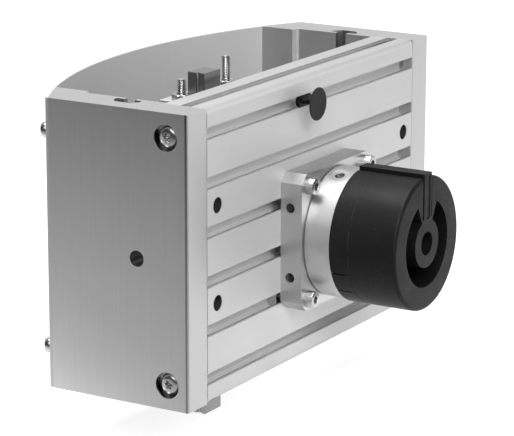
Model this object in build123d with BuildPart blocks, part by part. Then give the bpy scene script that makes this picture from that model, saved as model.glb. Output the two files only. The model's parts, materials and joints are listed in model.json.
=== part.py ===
from build123d import *
from math import atan2, cos, degrees, hypot, radians, sin, sqrt, tan
import os

# A pick and place handling module. A rotary drive on the front turns a swivel arm behind the
# base profile, and the arm carries a cross slide and a vertical rail along an inverted U.
# Frame: origin at the centre of the four through holes, on the front face of the base profile.
# X runs right along the profile, Y runs back into the housing and Z runs up. Millimetres.

os.makedirs("parts", exist_ok=True)

# Housing sizes
width = 200.0
height = 120.0
side_depth = 66.5
cover_peak = 92.8
cover_thick = 1.2
end_thick = 14.5
wall_inset = 16.0
rear_inset = 19.0
shoulder_depth = 58.4
corner_round = 1.0

# Base profile sizes
base_depth = 20.0
base_round = 2.5
slot_pitch = 20.0
slot_open = 5.0
slot_lip = 2.0
slot_wide = 10.6
slot_straight = 1.7
slot_floor = 6.0
slot_depth = 6.4
core_bore = 4.2

# Slot in each end plate
wall_slot_depth = 35.5
wall_slot_open = 5.0
wall_slot_lip = 2.3
wall_slot_wide = 12.0
wall_slot_straight = 2.4
wall_slot_floor = 6.8
wall_slot_full = 7.7

# Holes that others bolt to
base_hole_inset = 7.5
base_hole_z = 40.0
base_hole_bore = 6.6
side_hole_bore = 6.6
side_hole_depth = 23.8
side_hole_z = 0.0

# End plate and cover screws
plate_screw_head = 9.0
plate_screw_head_high = 3.2
plate_screw_shank = 4.1
plate_screw_long = 26.0
plate_sink_bore = 10.8
plate_sink_deep = 4.2
cover_screw_inset = 8.0
cover_screw_z = 45.0
cover_screw_head = 6.6
cover_screw_head_high = 2.4
cover_screw_shank = 3.4
cover_screw_long = 9.0
cover_screw_dome = 1.2

# Plug in the top slot of the base
plug_x = -12.8
plug_disc = 14.6
plug_disc_thick = 1.5
plug_stand = 8.0
plug_stem = 4.6
plug_key_left = 3.2
plug_key_right = 9.0
plug_key_deep = 6.0
plug_key_proud = 0.3
plug_round = 0.4

# Rotary drive
drive_slot = 1
flange_side = 58.0
flange_thick = 10.0
flange_chamfer = 3.8
flange_bolt = 48.0
drive_screw_head = 7.0
drive_screw_head_high = 4.0
drive_screw_shank = 4.0
drive_screw_long = 16.0
ring_bore = 44.0
ring_across = 55.0
ring_long = 12.0
ring_cap = 2.4
ring_groove_wide = 0.5
ring_groove_deep = 0.5
ring_cap_bore = 12.0
port_bore = 4.2
port_deep = 8.0
port_angle = 107.7
port_back = 6.0
port_spot = 8.7
port_spot_deep = 0.4
side_port_back = 4.5
side_port_spread = 29.6
shaft_across = 10.0
bush_across = 16.0
bush_long = 8.0
vane_wide = 5.0
vane_hub = 14.0
stator_half_angle = 40.0
running_gap = 0.3
bearing_gap = 0.03
edge_break = 0.5

# Black hub on the shaft
hub_across = 56.6
hub_long = 30.3
hub_rim_round = 1.6
hub_wall = 2.6
hub_back_deep = 8.7
hub_web = 3.0
hub_boss = 20.4
hub_recess = 36.8
hub_recess_half_angle = 26.0
hub_boss_back = 24.0
hub_slit_wide = 0.7
hub_slit_long = 7.0
hub_finger_angles = (-147.4, -32.6)
hub_finger_half = 10.2
hub_seam_back = 8.7
hub_seam_wide = 0.4
hub_seam_deep = 0.12
pointer_wide = 6.4
pointer_gap = 0.8
pointer_proud = 0.2
pointer_border = 1.1
pointer_panel_deep = 0.3
pointer_top = 57.2
pointer_shoulder = 10.4
pointer_tip = 8.8
shaft_sunk = 8.0

# Swivel arm, link plate and roller
arm_thick = 3.4
arm_boss = 24.0
arm_tip = 18.0
arm_over = 1.0
arm_screw_head = 15.0
arm_screw_head_high = 1.1
arm_screw_shank = 4.0
arm_screw_long = 9.0
arm_screw_sunk = 0.1
arm_flat = 4.0
link_thick = 3.0
link_margin = 18.0
link_foot = 19.5
link_head = 12.5
link_corner = 15.0
link_play = 0.1
link_screw_inset = 6.0
link_screw_head = 7.4
link_screw_shank = 4.0
link_screw_long = 8.0
pocket_margin = 1.0
roller_across = 10.0
roller_slack = 0.4
roller_clear = 0.4
roller_play = 0.2
roller_chamfer = 0.4
pin_across = 5.0
pin_head = 7.5
pin_head_high = 0.5
pin_collar = 7.0
pin_collar_high = 0.4
pin_seat = 5.9
pin_seat_deep = 4.4

# Vertical rail and what it carries
stroke_z = 40.0
rail_front = 26.0
rail_wide = 12.0
rail_deep = 8.0
rail_long = 145.0
rail_below = 20.5
rail_groove = 3.2
rail_groove_round = 0.95
rail_hole_first = 8.0
rail_hole_last = 12.0
rail_hole_count = 6
rail_hole_bore = 3.4
rail_sink_bore = 6.0
rail_sink_deep = 4.5
tool_thread_bore = 3.3
tool_thread_deep = 4.5
roller_rail_hole = 2
stud_offset = 17.0
stud_across = 4.0
stud_left_rise = 8.4
stud_right_rise = 12.5
stud_drop = 16.6
nut_flats = 7.0
nut_high = 2.4
holder_above = 2.9
holder_high = 6.0
holder_ear = 11.0
holder_wall = 3.7
holder_front = 25.8
holder_side = 5.0

# Carriages and cross plate
carriage_wide = 27.0
carriage_long = 42.0
carriage_cap = 3.0
carriage_back = 4.0
carriage_lip = 2.0
carriage_holder_gap = 9.4
carriage_gap = 0.15
carriage_thread = 5.0
cap_inset = 0.4
carriage_screw_half = 10.0
carriage_screw_spread = 15.0
cross_thick = 5.0
cross_half_wide = 34.0
cross_top = 42.0
cross_bottom = -46.0
cross_corner = 2.0
cross_screw_long = 8.0
cross_thread = 5.5
guide_screw_half = 17.0
guide_screw_spread = 15.0
guide_wide = 9.0
guide_deep = 6.0
guide_end_gap = 1.3
guide_hole_inset = 11.0
guide_high = 28.0
guide_low = -34.0
guide_groove = 3.6
guide_groove_round = 0.75
guide_stand = 4.0
guide_carriage_wide = 20.0
guide_carriage_long = 44.0
guide_carriage_lip = 1.6
guide_cap = 3.0
guide_hole_count = 4
guide_screw_long = 10.0
small_screw_head = 5.5
small_screw_head_high = 3.0
small_screw_sunk = 0.2
small_screw_shank = 3.0
small_screw_bore = 3.4

# Beam, angle brackets and stops
beam_top = 40.0
beam_bottom = -46.0
angle_thick = 4.5
angle_stop_gap = 4.0
angle_beam_inset = 2.0
angle_flange = 7.2
angle_screw_out = 3.8
angle_screw_inset = 8.0
angle_foot_front = 31.0
angle_round = 1.0
bracket_screw_inset = 10.0
stop_pad_lead = 2.5
stop_front = 27.0
stop_back = 35.0
stop_plate_high = 6.0
stop_foot_high = 22.5
stop_foot_back = 41.0
stop_gusset = 5.0
stop_slot_screw_rise = 6.0
stop_screw_y = 40.5
stop_nut_flats = 8.0
stop_nut_high = 2.2
stop_screw_across = 5.0
stop_buffer_across = 8.0
stop_buffer_long = 3.0
slot_nut_long = 10.0
slot_nut_gap = 0.3
slot_screw_shank = 4.0
slot_screw_head = 7.0
slot_screw_head_high = 2.4
slot_screw_long = 10.0

# Places worked out from the sizes
half_wide = width / 2
half_high = height / 2
base_half = half_wide - end_thick
inner_half = half_wide - wall_inset
bulge = cover_peak - side_depth
cover_radius = (half_wide**2 + bulge**2) / (2 * bulge)
cover_centre = cover_peak - cover_radius
slot_count = int(height // slot_pitch)
slot_heights = [slot_pitch * (i - (slot_count - 1) / 2) for i in range(slot_count)]
top_slot_z = slot_heights[-1]
core_depth = base_depth / 2
axis_z = slot_heights[drive_slot] + flange_bolt / 2
flange_front = -flange_thick
ring_front = flange_front - ring_long
hub_back = ring_front - running_gap
hub_front = hub_back - hub_long
link_front = base_depth - link_thick
pocket_depth = arm_thick + 2 * running_gap
pocket_front = link_front - pocket_depth
arm_back = link_front - running_gap
arm_front = arm_back - arm_thick
shaft_back = arm_back - arm_screw_sunk - arm_screw_head_high
rail_back = rail_front + rail_deep
rail_bottom = -half_high - rail_below
rail_mid = rail_front + rail_deep / 2
foot_face = inner_half - angle_thick
buffer_base = foot_face - stop_nut_high
buffer_tip = buffer_base - stop_buffer_long
link_travel_half = buffer_tip - running_gap - cross_half_wide
link_half_wide = link_travel_half + link_margin
rest_x = -link_travel_half
rail_first_hole = rail_bottom + rail_hole_first
rail_hole_pitch = (rail_long - rail_hole_first - rail_hole_last) / (rail_hole_count - 1)
roller_z = rail_first_hole + roller_rail_hole * rail_hole_pitch
arm_reach = hypot(rest_x, roller_z - axis_z)
arm_near = roller_z + stroke_z - axis_z
arm_angle = degrees(atan2(roller_z - axis_z, rest_x))
pocket_radius = arm_reach + arm_tip / 2 + pocket_margin
pocket_low = roller_z - arm_tip / 2 - pocket_margin
cross_front = rail_back + carriage_back
cross_back = cross_front + cross_thick
guide_front = cross_back + guide_stand
beam_front = guide_front + guide_deep
beam_back = shoulder_depth
link_path_top = roller_z + stroke_z
link_low = roller_z - link_foot
link_high = link_path_top + link_head
drive_screw_reach = drive_screw_long - flange_thick
link_screw_x = link_half_wide - link_screw_inset
link_screw_low = link_low + link_screw_inset
link_screw_high = link_high - link_screw_inset
link_screw_places = [
    (x, z) for x in (-link_screw_x, link_screw_x) for z in (link_screw_low, link_screw_high)
]
guide_heights = (guide_high, guide_low)
guide_half_long = foot_face - angle_flange - guide_end_gap
guide_hole_half = guide_half_long - guide_hole_inset
guide_hole_step = 2 * guide_hole_half / (guide_hole_count - 1)
guide_hole_row = [guide_hole_step * i - guide_hole_half for i in range(guide_hole_count)]
guide_bolt_places = [(x, z) for x in guide_hole_row for z in guide_heights]
holder_screw_z = rail_first_hole + (rail_hole_count - 1) * rail_hole_pitch
holder_top = holder_screw_z + holder_above
carriage_centre = holder_top - holder_high - carriage_holder_gap - carriage_cap - carriage_long / 2
stud_foot = holder_top - stud_drop
stop_top = stud_foot - running_gap
stop_foot_low = stop_top - stop_foot_high
stop_slot_screw_z = stop_foot_low + stop_slot_screw_rise
angle_top = stop_foot_low - angle_stop_gap
angle_bottom = beam_bottom + angle_beam_inset
bracket_screw_heights = (angle_bottom + bracket_screw_inset, angle_top - bracket_screw_inset)
angle_beam_screw_x = foot_face - angle_screw_out
stop_screw_z = (angle_top + angle_bottom) / 2
pin_head_front = base_depth + roller_clear
roller_front = pin_head_front + pin_head_high + roller_play
roller_back = rail_front - pin_collar_high - roller_play
carriage_screw_places = [
    (rest_x + side * carriage_screw_half, carriage_centre + rise * carriage_screw_spread / 2)
    for side in (-1, 1) for rise in (-1, 1)
]
guide_screw_places = [
    (rest_x + side * guide_screw_half, z + rise * guide_screw_spread / 2)
    for side in (-1, 1) for rise in (-1, 1) for z in guide_heights
]
beam_screw_places = [
    (side * angle_beam_screw_x, z)
    for side in (-1, 1) for z in (angle_bottom + angle_screw_inset, angle_top - angle_screw_inset)
]


def at_depth(y):
    """Plane facing the front at depth y: local x is X, local y is Z, extrusion runs forward."""
    return Plane.XZ.offset(-y)


def across(x):
    """Plane facing right at place x: local x is Y, local y is Z, extrusion runs right."""
    return Plane.YZ.offset(x)


def slot_outline(opening, lip, wide, straight, floor, depth):
    """Corner points of an undercut slot that opens at (0, 0) and runs in along local -x."""
    half = [(1.0, opening), (-lip, opening), (-lip, wide), (-lip - straight, wide), (-depth, floor)]
    upper = [(x, w / 2) for x, w in half]
    lower = [(x, -w / 2) for x, w in reversed(half)]
    return upper + lower


def arc_depth(x, inset):
    """Depth of the rear arc at place x, the given distance inside the outer face of the cover."""
    return cover_centre + sqrt((cover_radius - inset) ** 2 - x**2)


# Base profile
base_slot = slot_outline(slot_open, slot_lip, slot_wide, slot_straight, slot_floor, slot_depth)
with BuildPart() as base_profile:
    with BuildSketch(across(-base_half)) as base_section:
        with Locations((base_depth / 2, 0)):
            Rectangle(base_depth, height)
        fillet(base_section.vertices().group_by(Axis.X)[0], base_round)
        with Locations(*[(0, z) for z in slot_heights]):
            Polygon(*base_slot, rotation=180, align=None, mode=Mode.SUBTRACT)
            with Locations((core_depth, 0)):
                Circle(core_bore / 2, mode=Mode.SUBTRACT)
        with Locations((core_depth, half_high)):
            Polygon(*base_slot, rotation=90, align=None, mode=Mode.SUBTRACT)
        with Locations((core_depth, -half_high)):
            Polygon(*base_slot, rotation=-90, align=None, mode=Mode.SUBTRACT)
    extrude(amount=2 * base_half)
    with BuildSketch(at_depth(base_depth)):
        with Locations((0, (link_low + link_high) / 2)):
            Rectangle(2 * (link_half_wide + link_play), link_high - link_low + 2 * link_play)
    extrude(amount=link_thick, mode=Mode.SUBTRACT)
    with BuildSketch(at_depth(base_depth)):
        with Locations((0, axis_z)):
            Circle(pocket_radius)
        with Locations((0, pocket_low - pocket_radius)):
            Rectangle(2 * pocket_radius, 2 * pocket_radius, mode=Mode.SUBTRACT)
    extrude(amount=link_thick + pocket_depth, mode=Mode.SUBTRACT)
    with BuildSketch(at_depth(base_depth)):
        with Locations((0, axis_z)):
            Circle(bush_across / 2)
        with GridLocations(2 * (base_half - base_hole_inset), base_hole_z, 2, 2):
            Circle(base_hole_bore / 2)
    extrude(amount=base_depth, mode=Mode.SUBTRACT)
    with BuildSketch(at_depth(drive_screw_reach)):
        with Locations((0, axis_z)), GridLocations(flange_bolt, flange_bolt, 2, 2):
            Circle(drive_screw_shank / 2)
    extrude(amount=drive_screw_reach, mode=Mode.SUBTRACT)
    with BuildSketch(at_depth(link_front)):
        with Locations(*link_screw_places):
            Circle(link_screw_shank / 2)
    extrude(amount=link_screw_long - link_thick, mode=Mode.SUBTRACT)
base_profile.part.label = "base_profile"
export_step(base_profile.part, "parts/base_profile.step")


# End plates, one for each side, as plan outlines carried up the full height
wall_slot = slot_outline(
    wall_slot_open, wall_slot_lip, wall_slot_wide, wall_slot_straight, wall_slot_floor, wall_slot_full
)


def rear_plane(x, z):
    """Plane on the outer face of the cover, facing out along the normal of its arc."""
    lean = x / cover_radius
    origin = (x, arc_depth(x, 0), z)
    return Plane(origin=origin, x_dir=(0, 0, 1), z_dir=(lean, sqrt(1 - lean**2), 0))


def cover_screw_planes(side):
    """The two screw places of the cover on one side."""
    x = side * (half_wide - cover_screw_inset)
    return [rear_plane(x, z) for z in (-cover_screw_z, cover_screw_z)]


def make_end_plate(side):
    """End plate with its rear arc, undercut slot, side hole and screw seats."""
    outer = side * half_wide
    inner = side * inner_half
    rear = side * (half_wide - rear_inset)
    with BuildPart() as plate:
        with BuildSketch(Plane.XY.offset(-half_high)) as plan:
            with BuildLine():
                Polyline(
                    (outer, 0),
                    (side * base_half, 0),
                    (side * base_half, base_depth),
                    (inner, base_depth),
                    (inner, shoulder_depth),
                    (rear, shoulder_depth),
                    (rear, arc_depth(rear, cover_thick)),
                )
                middle = (rear + outer) / 2
                ThreePointArc(
                    (rear, arc_depth(rear, cover_thick)),
                    (middle, arc_depth(middle, cover_thick)),
                    (outer, arc_depth(outer, cover_thick)),
                )
                Line((outer, arc_depth(outer, cover_thick)), (outer, 0))
            make_face()
            fillet(plan.vertices().group_by(Axis.Y)[0], corner_round)
            with Locations((inner, wall_slot_depth)):
                Polygon(*wall_slot, rotation=90 + side * 90, align=None, mode=Mode.SUBTRACT)
        extrude(amount=height)
        with BuildSketch(across(min(outer, rear))):
            with Locations((side_hole_depth, side_hole_z)):
                Circle(side_hole_bore / 2)
            with Locations((core_depth, top_slot_z), (core_depth, -top_slot_z)):
                Circle(plate_screw_shank / 2)
        extrude(amount=rear_inset, mode=Mode.SUBTRACT)
        with BuildSketch(across(outer)):
            with Locations((core_depth, top_slot_z), (core_depth, -top_slot_z)):
                Circle(plate_sink_bore / 2)
        extrude(amount=-side * plate_sink_deep, mode=Mode.SUBTRACT)
        for place in cover_screw_planes(side):
            with BuildSketch(place):
                Circle(cover_screw_shank / 2)
            extrude(amount=-cover_screw_long, mode=Mode.SUBTRACT)
    return plate.part


for side, name in ((-1, "end_plate_left"), (1, "end_plate_right")):
    end_plate = make_end_plate(side)
    end_plate.label = name
    export_step(end_plate, f"parts/{name}.step")

# Curved rear cover
with BuildPart() as rear_cover:
    with BuildSketch(Plane.XY.offset(-half_high)):
        with BuildLine():
            inner_end = arc_depth(half_wide, cover_thick)
            ThreePointArc((-half_wide, side_depth), (0, cover_peak), (half_wide, side_depth))
            Line((half_wide, side_depth), (half_wide, inner_end))
            ThreePointArc((half_wide, inner_end), (0, cover_peak - cover_thick), (-half_wide, inner_end))
            Line((-half_wide, inner_end), (-half_wide, side_depth))
        make_face()
    extrude(amount=height)
    for place in cover_screw_planes(-1) + cover_screw_planes(1):
        with BuildSketch(place):
            Circle(cover_screw_shank / 2)
        extrude(amount=-2 * cover_thick, mode=Mode.SUBTRACT)
rear_cover.part.label = "rear_cover"
export_step(rear_cover.part, "parts/rear_cover.step")


def is_dome_rim(edge):
    """True for the outer rim of a cover screw head."""
    centre = edge.center()
    rise = hypot(centre.X, centre.Y - cover_centre) - cover_radius
    return rise > cover_screw_head_high / 2


# Cover screws with domed heads
with BuildPart() as cover_screws:
    for place in cover_screw_planes(-1) + cover_screw_planes(1):
        with BuildSketch(place):
            Circle(cover_screw_head / 2)
        extrude(amount=cover_screw_head_high)
        with BuildSketch(place):
            Circle(cover_screw_shank / 2)
        extrude(amount=-cover_screw_long)
    fillet(cover_screws.edges().filter_by(is_dome_rim), cover_screw_dome)
cover_screws.part.label = "cover_screws"
export_step(cover_screws.part, "parts/cover_screws.step")

# Screws that hold the end plates to the cores of the base profile
with BuildPart() as end_plate_screws:
    for side in (-1, 1):
        seat = side * (half_wide - plate_sink_deep)
        with BuildSketch(across(seat)):
            with Locations((core_depth, top_slot_z), (core_depth, -top_slot_z)):
                Circle(plate_screw_head / 2)
        extrude(amount=side * plate_screw_head_high)
        with BuildSketch(across(seat)):
            with Locations((core_depth, top_slot_z), (core_depth, -top_slot_z)):
                Circle(plate_screw_shank / 2)
        extrude(amount=-side * plate_screw_long)
end_plate_screws.part.label = "end_plate_screws"
export_step(end_plate_screws.part, "parts/end_plate_screws.step")

# Black plug keyed into the top slot
with BuildPart() as slot_plug:
    with BuildSketch(at_depth(plug_key_deep)):
        with Locations((plug_x + (plug_key_right - plug_key_left) / 2, top_slot_z)):
            SlotOverall(plug_key_left + plug_key_right, plug_stem)
    extrude(amount=plug_key_deep + plug_key_proud)
    with BuildSketch(at_depth(0)):
        with Locations((plug_x, top_slot_z)):
            Circle(plug_stem / 2)
    extrude(amount=plug_stand)
    with BuildSketch(at_depth(-plug_stand + plug_disc_thick)):
        with Locations((plug_x, top_slot_z)):
            Circle(plug_disc / 2)
    extrude(amount=plug_disc_thick)
    fillet(slot_plug.faces().sort_by(Axis.Y)[0].edges(), plug_round)
slot_plug.part.label = "slot_plug"
export_step(slot_plug.part, "parts/slot_plug.step")

# Flange body of the rotary drive, with two air ports in its left side
with BuildPart() as drive_body:
    with BuildSketch(at_depth(0)) as flange_face:
        with Locations((0, axis_z)):
            Rectangle(flange_side, flange_side)
        chamfer(flange_face.vertices(), flange_chamfer)
        with Locations((0, axis_z)):
            Circle(bush_across / 2, mode=Mode.SUBTRACT)
            with GridLocations(flange_bolt, flange_bolt, 2, 2):
                Circle(drive_screw_shank / 2, mode=Mode.SUBTRACT)
    extrude(amount=flange_thick)
    with BuildSketch(across(-flange_side / 2)):
        with Locations((-side_port_back, axis_z)), GridLocations(0, side_port_spread, 1, 2):
            Circle(port_bore / 2)
    extrude(amount=port_deep, mode=Mode.SUBTRACT)
drive_body.part.label = "drive_body"
export_step(drive_body.part, "parts/drive_body.step")

# Round cylinder of the drive, open towards the flange, with one radial port
ring_radius = ring_across / 2
chamber_long = ring_long - ring_cap
chamber_front = flange_front - chamber_long
port_y = flange_front - port_back
port_out = Vector(cos(radians(port_angle)), 0, sin(radians(port_angle)))
port_mouth = Plane(Vector(0, port_y, axis_z) + port_out * ring_radius, x_dir=(0, 1, 0), z_dir=port_out)
with BuildPart() as drive_cylinder:
    with BuildSketch(at_depth(flange_front)):
        with Locations((0, axis_z)):
            Circle(ring_radius)
    extrude(amount=ring_long)
    with BuildSketch(at_depth(flange_front)):
        with Locations((0, axis_z)):
            Circle(ring_bore / 2)
    extrude(amount=chamber_long, mode=Mode.SUBTRACT)
    with BuildSketch(at_depth(chamber_front)):
        with Locations((0, axis_z)):
            Circle(ring_cap_bore / 2)
    extrude(amount=ring_cap, mode=Mode.SUBTRACT)
    with BuildSketch(at_depth(flange_front)):
        with Locations((0, axis_z)):
            Circle(ring_across)
            Circle(ring_radius - ring_groove_deep, mode=Mode.SUBTRACT)
    extrude(amount=ring_groove_wide, mode=Mode.SUBTRACT)
    with BuildSketch(port_mouth):
        Circle(port_bore / 2)
    extrude(amount=-(ring_radius - ring_bore / 2 + running_gap), mode=Mode.SUBTRACT)
    with BuildSketch(port_mouth):
        Circle(port_spot / 2)
    extrude(amount=-port_spot_deep, mode=Mode.SUBTRACT)
drive_cylinder.part.label = "drive_cylinder"
export_step(drive_cylinder.part, "parts/drive_cylinder.step")

# Four screws through the flange
with BuildPart() as drive_screws:
    with BuildSketch(at_depth(flange_front)):
        with Locations((0, axis_z)), GridLocations(flange_bolt, flange_bolt, 2, 2):
            Circle(drive_screw_head / 2)
    extrude(amount=drive_screw_head_high)
    chamfer(drive_screws.edges().group_by(Axis.Y)[0], edge_break)
    with BuildSketch(at_depth(flange_front + drive_screw_long)):
        with Locations((0, axis_z)), GridLocations(flange_bolt, flange_bolt, 2, 2):
            Circle(drive_screw_shank / 2)
    extrude(amount=drive_screw_long)
drive_screws.part.label = "drive_screws"
export_step(drive_screws.part, "parts/drive_screws.step")


def nut_outline(lip, wide, straight, floor, depth):
    """Corner points of a nut drawn up against the lips of an undercut slot."""
    half = [(-lip, wide), (-lip - straight, wide), (-depth + slot_nut_gap, floor)]
    upper = [(x, w / 2 - slot_nut_gap) for x, w in half]
    lower = [(x, -w / 2 + slot_nut_gap) for x, w in reversed(half)]
    return upper + lower


# Nuts in the base slot that take the two lower screws of the drive
base_nut = nut_outline(slot_lip, slot_wide, slot_straight, slot_floor, slot_depth)
screw_z = axis_z - flange_bolt / 2
with BuildPart() as drive_slot_nuts:
    for screw_x in (-flange_bolt / 2, flange_bolt / 2):
        with BuildSketch(across(screw_x - slot_nut_long / 2)):
            with Locations((0, screw_z)):
                Polygon(*base_nut, rotation=180, align=None)
        extrude(amount=slot_nut_long)
        with BuildSketch(at_depth(slot_depth)):
            with Locations((screw_x, screw_z)):
                Circle(drive_screw_shank / 2)
        extrude(amount=slot_depth, mode=Mode.SUBTRACT)
drive_slot_nuts.part.label = "drive_slot_nuts"
export_step(drive_slot_nuts.part, "parts/drive_slot_nuts.step")

# Plain bushes that carry the shaft, one in the flange and one in the base
bush_backs = {"front_bush": -(flange_thick - bush_long) / 2, "rear_bush": pocket_front - running_gap}
for name, bush_back in bush_backs.items():
    with BuildPart() as bush:
        with BuildSketch(at_depth(bush_back)):
            with Locations((0, axis_z)):
                Circle(bush_across / 2)
                Circle(shaft_across / 2 + bearing_gap, mode=Mode.SUBTRACT)
        extrude(amount=bush_long)
    bush.part.label = name
    export_step(bush.part, f"parts/{name}.step")

# Fixed stator block in the lower part of the chamber
with BuildPart() as stator:
    with BuildSketch(at_depth(flange_front)):
        with Locations((0, axis_z)):
            Circle(ring_bore / 2)
            Circle(vane_hub / 2 + running_gap, mode=Mode.SUBTRACT)
        spread = ring_bore * tan(radians(stator_half_angle))
        with Locations((0, axis_z)):
            Polygon((0, 0), (-spread, -ring_bore), (spread, -ring_bore), align=None, mode=Mode.INTERSECT)
    extrude(amount=chamber_long)
stator.part.label = "stator"
export_step(stator.part, "parts/stator.step")


def axis_plane(y, angle):
    """Plane facing the front on the drive axis, with local x turned to the given angle."""
    turn = radians(angle)
    return Plane(origin=(0, y, axis_z), x_dir=(cos(turn), 0, sin(turn)), z_dir=(0, -1, 0))


# Shaft with a flat for the arm and a screw hole in its rear end
shaft_front = hub_front + shaft_sunk
with BuildPart() as shaft:
    with BuildSketch(axis_plane(shaft_back, arm_angle)):
        Circle(shaft_across / 2)
    extrude(amount=shaft_back - shaft_front)
    with BuildSketch(axis_plane(shaft_back, arm_angle)):
        with Locations((0, arm_flat + shaft_across / 2)):
            Rectangle(2 * shaft_across, shaft_across)
    extrude(amount=shaft_back - arm_front, mode=Mode.SUBTRACT)
    with BuildSketch(axis_plane(shaft_back, arm_angle)):
        Circle(arm_screw_shank / 2)
    extrude(amount=arm_screw_long, mode=Mode.SUBTRACT)
    chamfer(shaft.faces().sort_by(Axis.Y)[0].edges(), edge_break)
shaft.part.label = "shaft"
export_step(shaft.part, "parts/shaft.step")

# Vane that the air pushes round, in line with the arm
with BuildPart() as vane:
    with BuildSketch(axis_plane(flange_front - running_gap, arm_angle)):
        Circle(vane_hub / 2)
        with Locations(((ring_bore / 2 - running_gap) / 2, 0)):
            Rectangle(ring_bore / 2 - running_gap, vane_wide)
        Circle(shaft_across / 2, mode=Mode.SUBTRACT)
    extrude(amount=chamber_long - 2 * running_gap)
vane.part.label = "vane"
export_step(vane.part, "parts/vane.step")

# Black hub: an open cup in front, a snap wall behind and a V notch for the pointer
hub_radius = hub_across / 2
recess_floor = hub_back - hub_back_deep - hub_web
pointer_slope = (pointer_shoulder - pointer_tip) / (pointer_wide / 2)
notch_half = pointer_wide / 2 + pointer_gap
notch_shoulder = pointer_tip + pointer_slope * notch_half
with BuildPart() as hub:
    with BuildSketch(axis_plane(hub_back, 0)):
        Circle(hub_radius)
    extrude(amount=hub_long)
    fillet(hub.edges().group_by(Axis.Y)[0], hub_rim_round)
    with BuildSketch(axis_plane(hub_back, 0)):
        Circle(hub_radius - hub_wall)
        Circle(hub_boss_back / 2, mode=Mode.SUBTRACT)
    extrude(amount=hub_back_deep, mode=Mode.SUBTRACT)
    with BuildSketch(axis_plane(recess_floor, 0)):
        Circle(hub_recess / 2)
        Circle(hub_boss / 2, mode=Mode.SUBTRACT)
        spread = hub_across * tan(radians(hub_recess_half_angle))
        Polygon((0, 0), (spread, hub_across), (-spread, hub_across), align=None, mode=Mode.SUBTRACT)
    extrude(amount=hub_long, mode=Mode.SUBTRACT)
    with BuildSketch(axis_plane(hub_back, 0)):
        Circle(shaft_across / 2)
    extrude(amount=hub_long, mode=Mode.SUBTRACT)
    with BuildSketch(axis_plane(hub_back, 0)):
        Polygon(
            (-notch_half, notch_shoulder), (0, pointer_tip), (notch_half, notch_shoulder),
            (notch_half, hub_across), (-notch_half, hub_across), align=None,
        )
    extrude(amount=hub_long, mode=Mode.SUBTRACT)
    slit_angles = [a + turn for a in hub_finger_angles for turn in (-hub_finger_half, hub_finger_half)]
    for angle in slit_angles:
        with BuildSketch(axis_plane(hub_back, angle)):
            with Locations((hub_radius, 0)):
                Rectangle(3 * hub_wall, hub_slit_wide)
        extrude(amount=hub_slit_long, mode=Mode.SUBTRACT)
    with BuildSketch(axis_plane(hub_back - hub_seam_back + hub_seam_wide / 2, 0)):
        Circle(hub_across)
        Circle(hub_radius - hub_seam_deep, mode=Mode.SUBTRACT)
    extrude(amount=hub_seam_wide, mode=Mode.SUBTRACT)
hub.part.label = "hub"
export_step(hub.part, "parts/hub.step")

# Stop pointer set into the notch of the hub, with a sunk panel in its front
pointer_corners = [
    (-pointer_wide / 2, pointer_shoulder), (0, pointer_tip), (pointer_wide / 2, pointer_shoulder),
    (pointer_wide / 2, pointer_top / 2), (-pointer_wide / 2, pointer_top / 2),
]
with BuildPart() as hub_pointer:
    with BuildSketch(axis_plane(hub_back, 0)):
        Polygon(*pointer_corners, align=None)
    extrude(amount=hub_long + pointer_proud)
    with BuildSketch(axis_plane(hub_front - pointer_proud, 0)):
        Polygon(*pointer_corners, align=None)
        offset(amount=-pointer_border, mode=Mode.REPLACE)
    extrude(amount=-pointer_panel_deep, mode=Mode.SUBTRACT)
hub_pointer.part.label = "hub_pointer"
export_step(hub_pointer.part, "parts/hub_pointer.step")

# Swivel arm with the long slot that drives the roller
with BuildPart() as swivel_arm:
    with BuildSketch(axis_plane(arm_back, arm_angle)):
        Circle(arm_boss / 2)
        with Locations((arm_reach, 0)):
            Circle(arm_tip / 2)
        make_hull()
        with Locations(((arm_reach + arm_near) / 2, 0)):
            slot_run = arm_reach - arm_near + 2 * arm_over
            SlotCenterToCenter(slot_run, roller_across + roller_slack, mode=Mode.SUBTRACT)
    extrude(amount=arm_thick)
    with BuildSketch(axis_plane(arm_back, arm_angle)):
        Circle(shaft_across / 2)
        with Locations((0, arm_flat + shaft_across / 2)):
            Rectangle(2 * shaft_across, shaft_across, mode=Mode.SUBTRACT)
    extrude(amount=arm_thick, mode=Mode.SUBTRACT)
    with BuildSketch(axis_plane(arm_back, 0)):
        Circle(arm_screw_head / 2 + running_gap)
    extrude(amount=arm_screw_sunk + arm_screw_head_high, mode=Mode.SUBTRACT)
swivel_arm.part.label = "swivel_arm"
export_step(swivel_arm.part, "parts/swivel_arm.step")

# Flat screw that clamps the arm to the shaft
with BuildPart() as arm_screw:
    with BuildSketch(axis_plane(arm_back - arm_screw_sunk, 0)):
        Circle(arm_screw_head / 2)
    extrude(amount=arm_screw_head_high)
    with BuildSketch(axis_plane(shaft_back, 0)):
        Circle(arm_screw_shank / 2)
    extrude(amount=arm_screw_long)
arm_screw.part.label = "arm_screw"
export_step(arm_screw.part, "parts/arm_screw.step")

# Link plate with the inverted U that guides the roller
with BuildPart() as link_plate:
    with BuildSketch(at_depth(base_depth)):
        with Locations((0, (link_low + link_high) / 2)):
            Rectangle(2 * link_half_wide, link_high - link_low)
        with BuildLine():
            FilletPolyline(
                (-link_travel_half, roller_z), (-link_travel_half, link_path_top),
                (link_travel_half, link_path_top), (link_travel_half, roller_z), radius=link_corner,
            )
        trace(line_width=roller_across + roller_slack, mode=Mode.SUBTRACT)
        with Locations((-link_travel_half, roller_z), (link_travel_half, roller_z)):
            Circle((roller_across + roller_slack) / 2, mode=Mode.SUBTRACT)
        with Locations(*link_screw_places):
            Circle(link_screw_head / 2, mode=Mode.SUBTRACT)
    extrude(amount=link_thick)
link_plate.part.label = "link_plate"
export_step(link_plate.part, "parts/link_plate.step")

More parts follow.
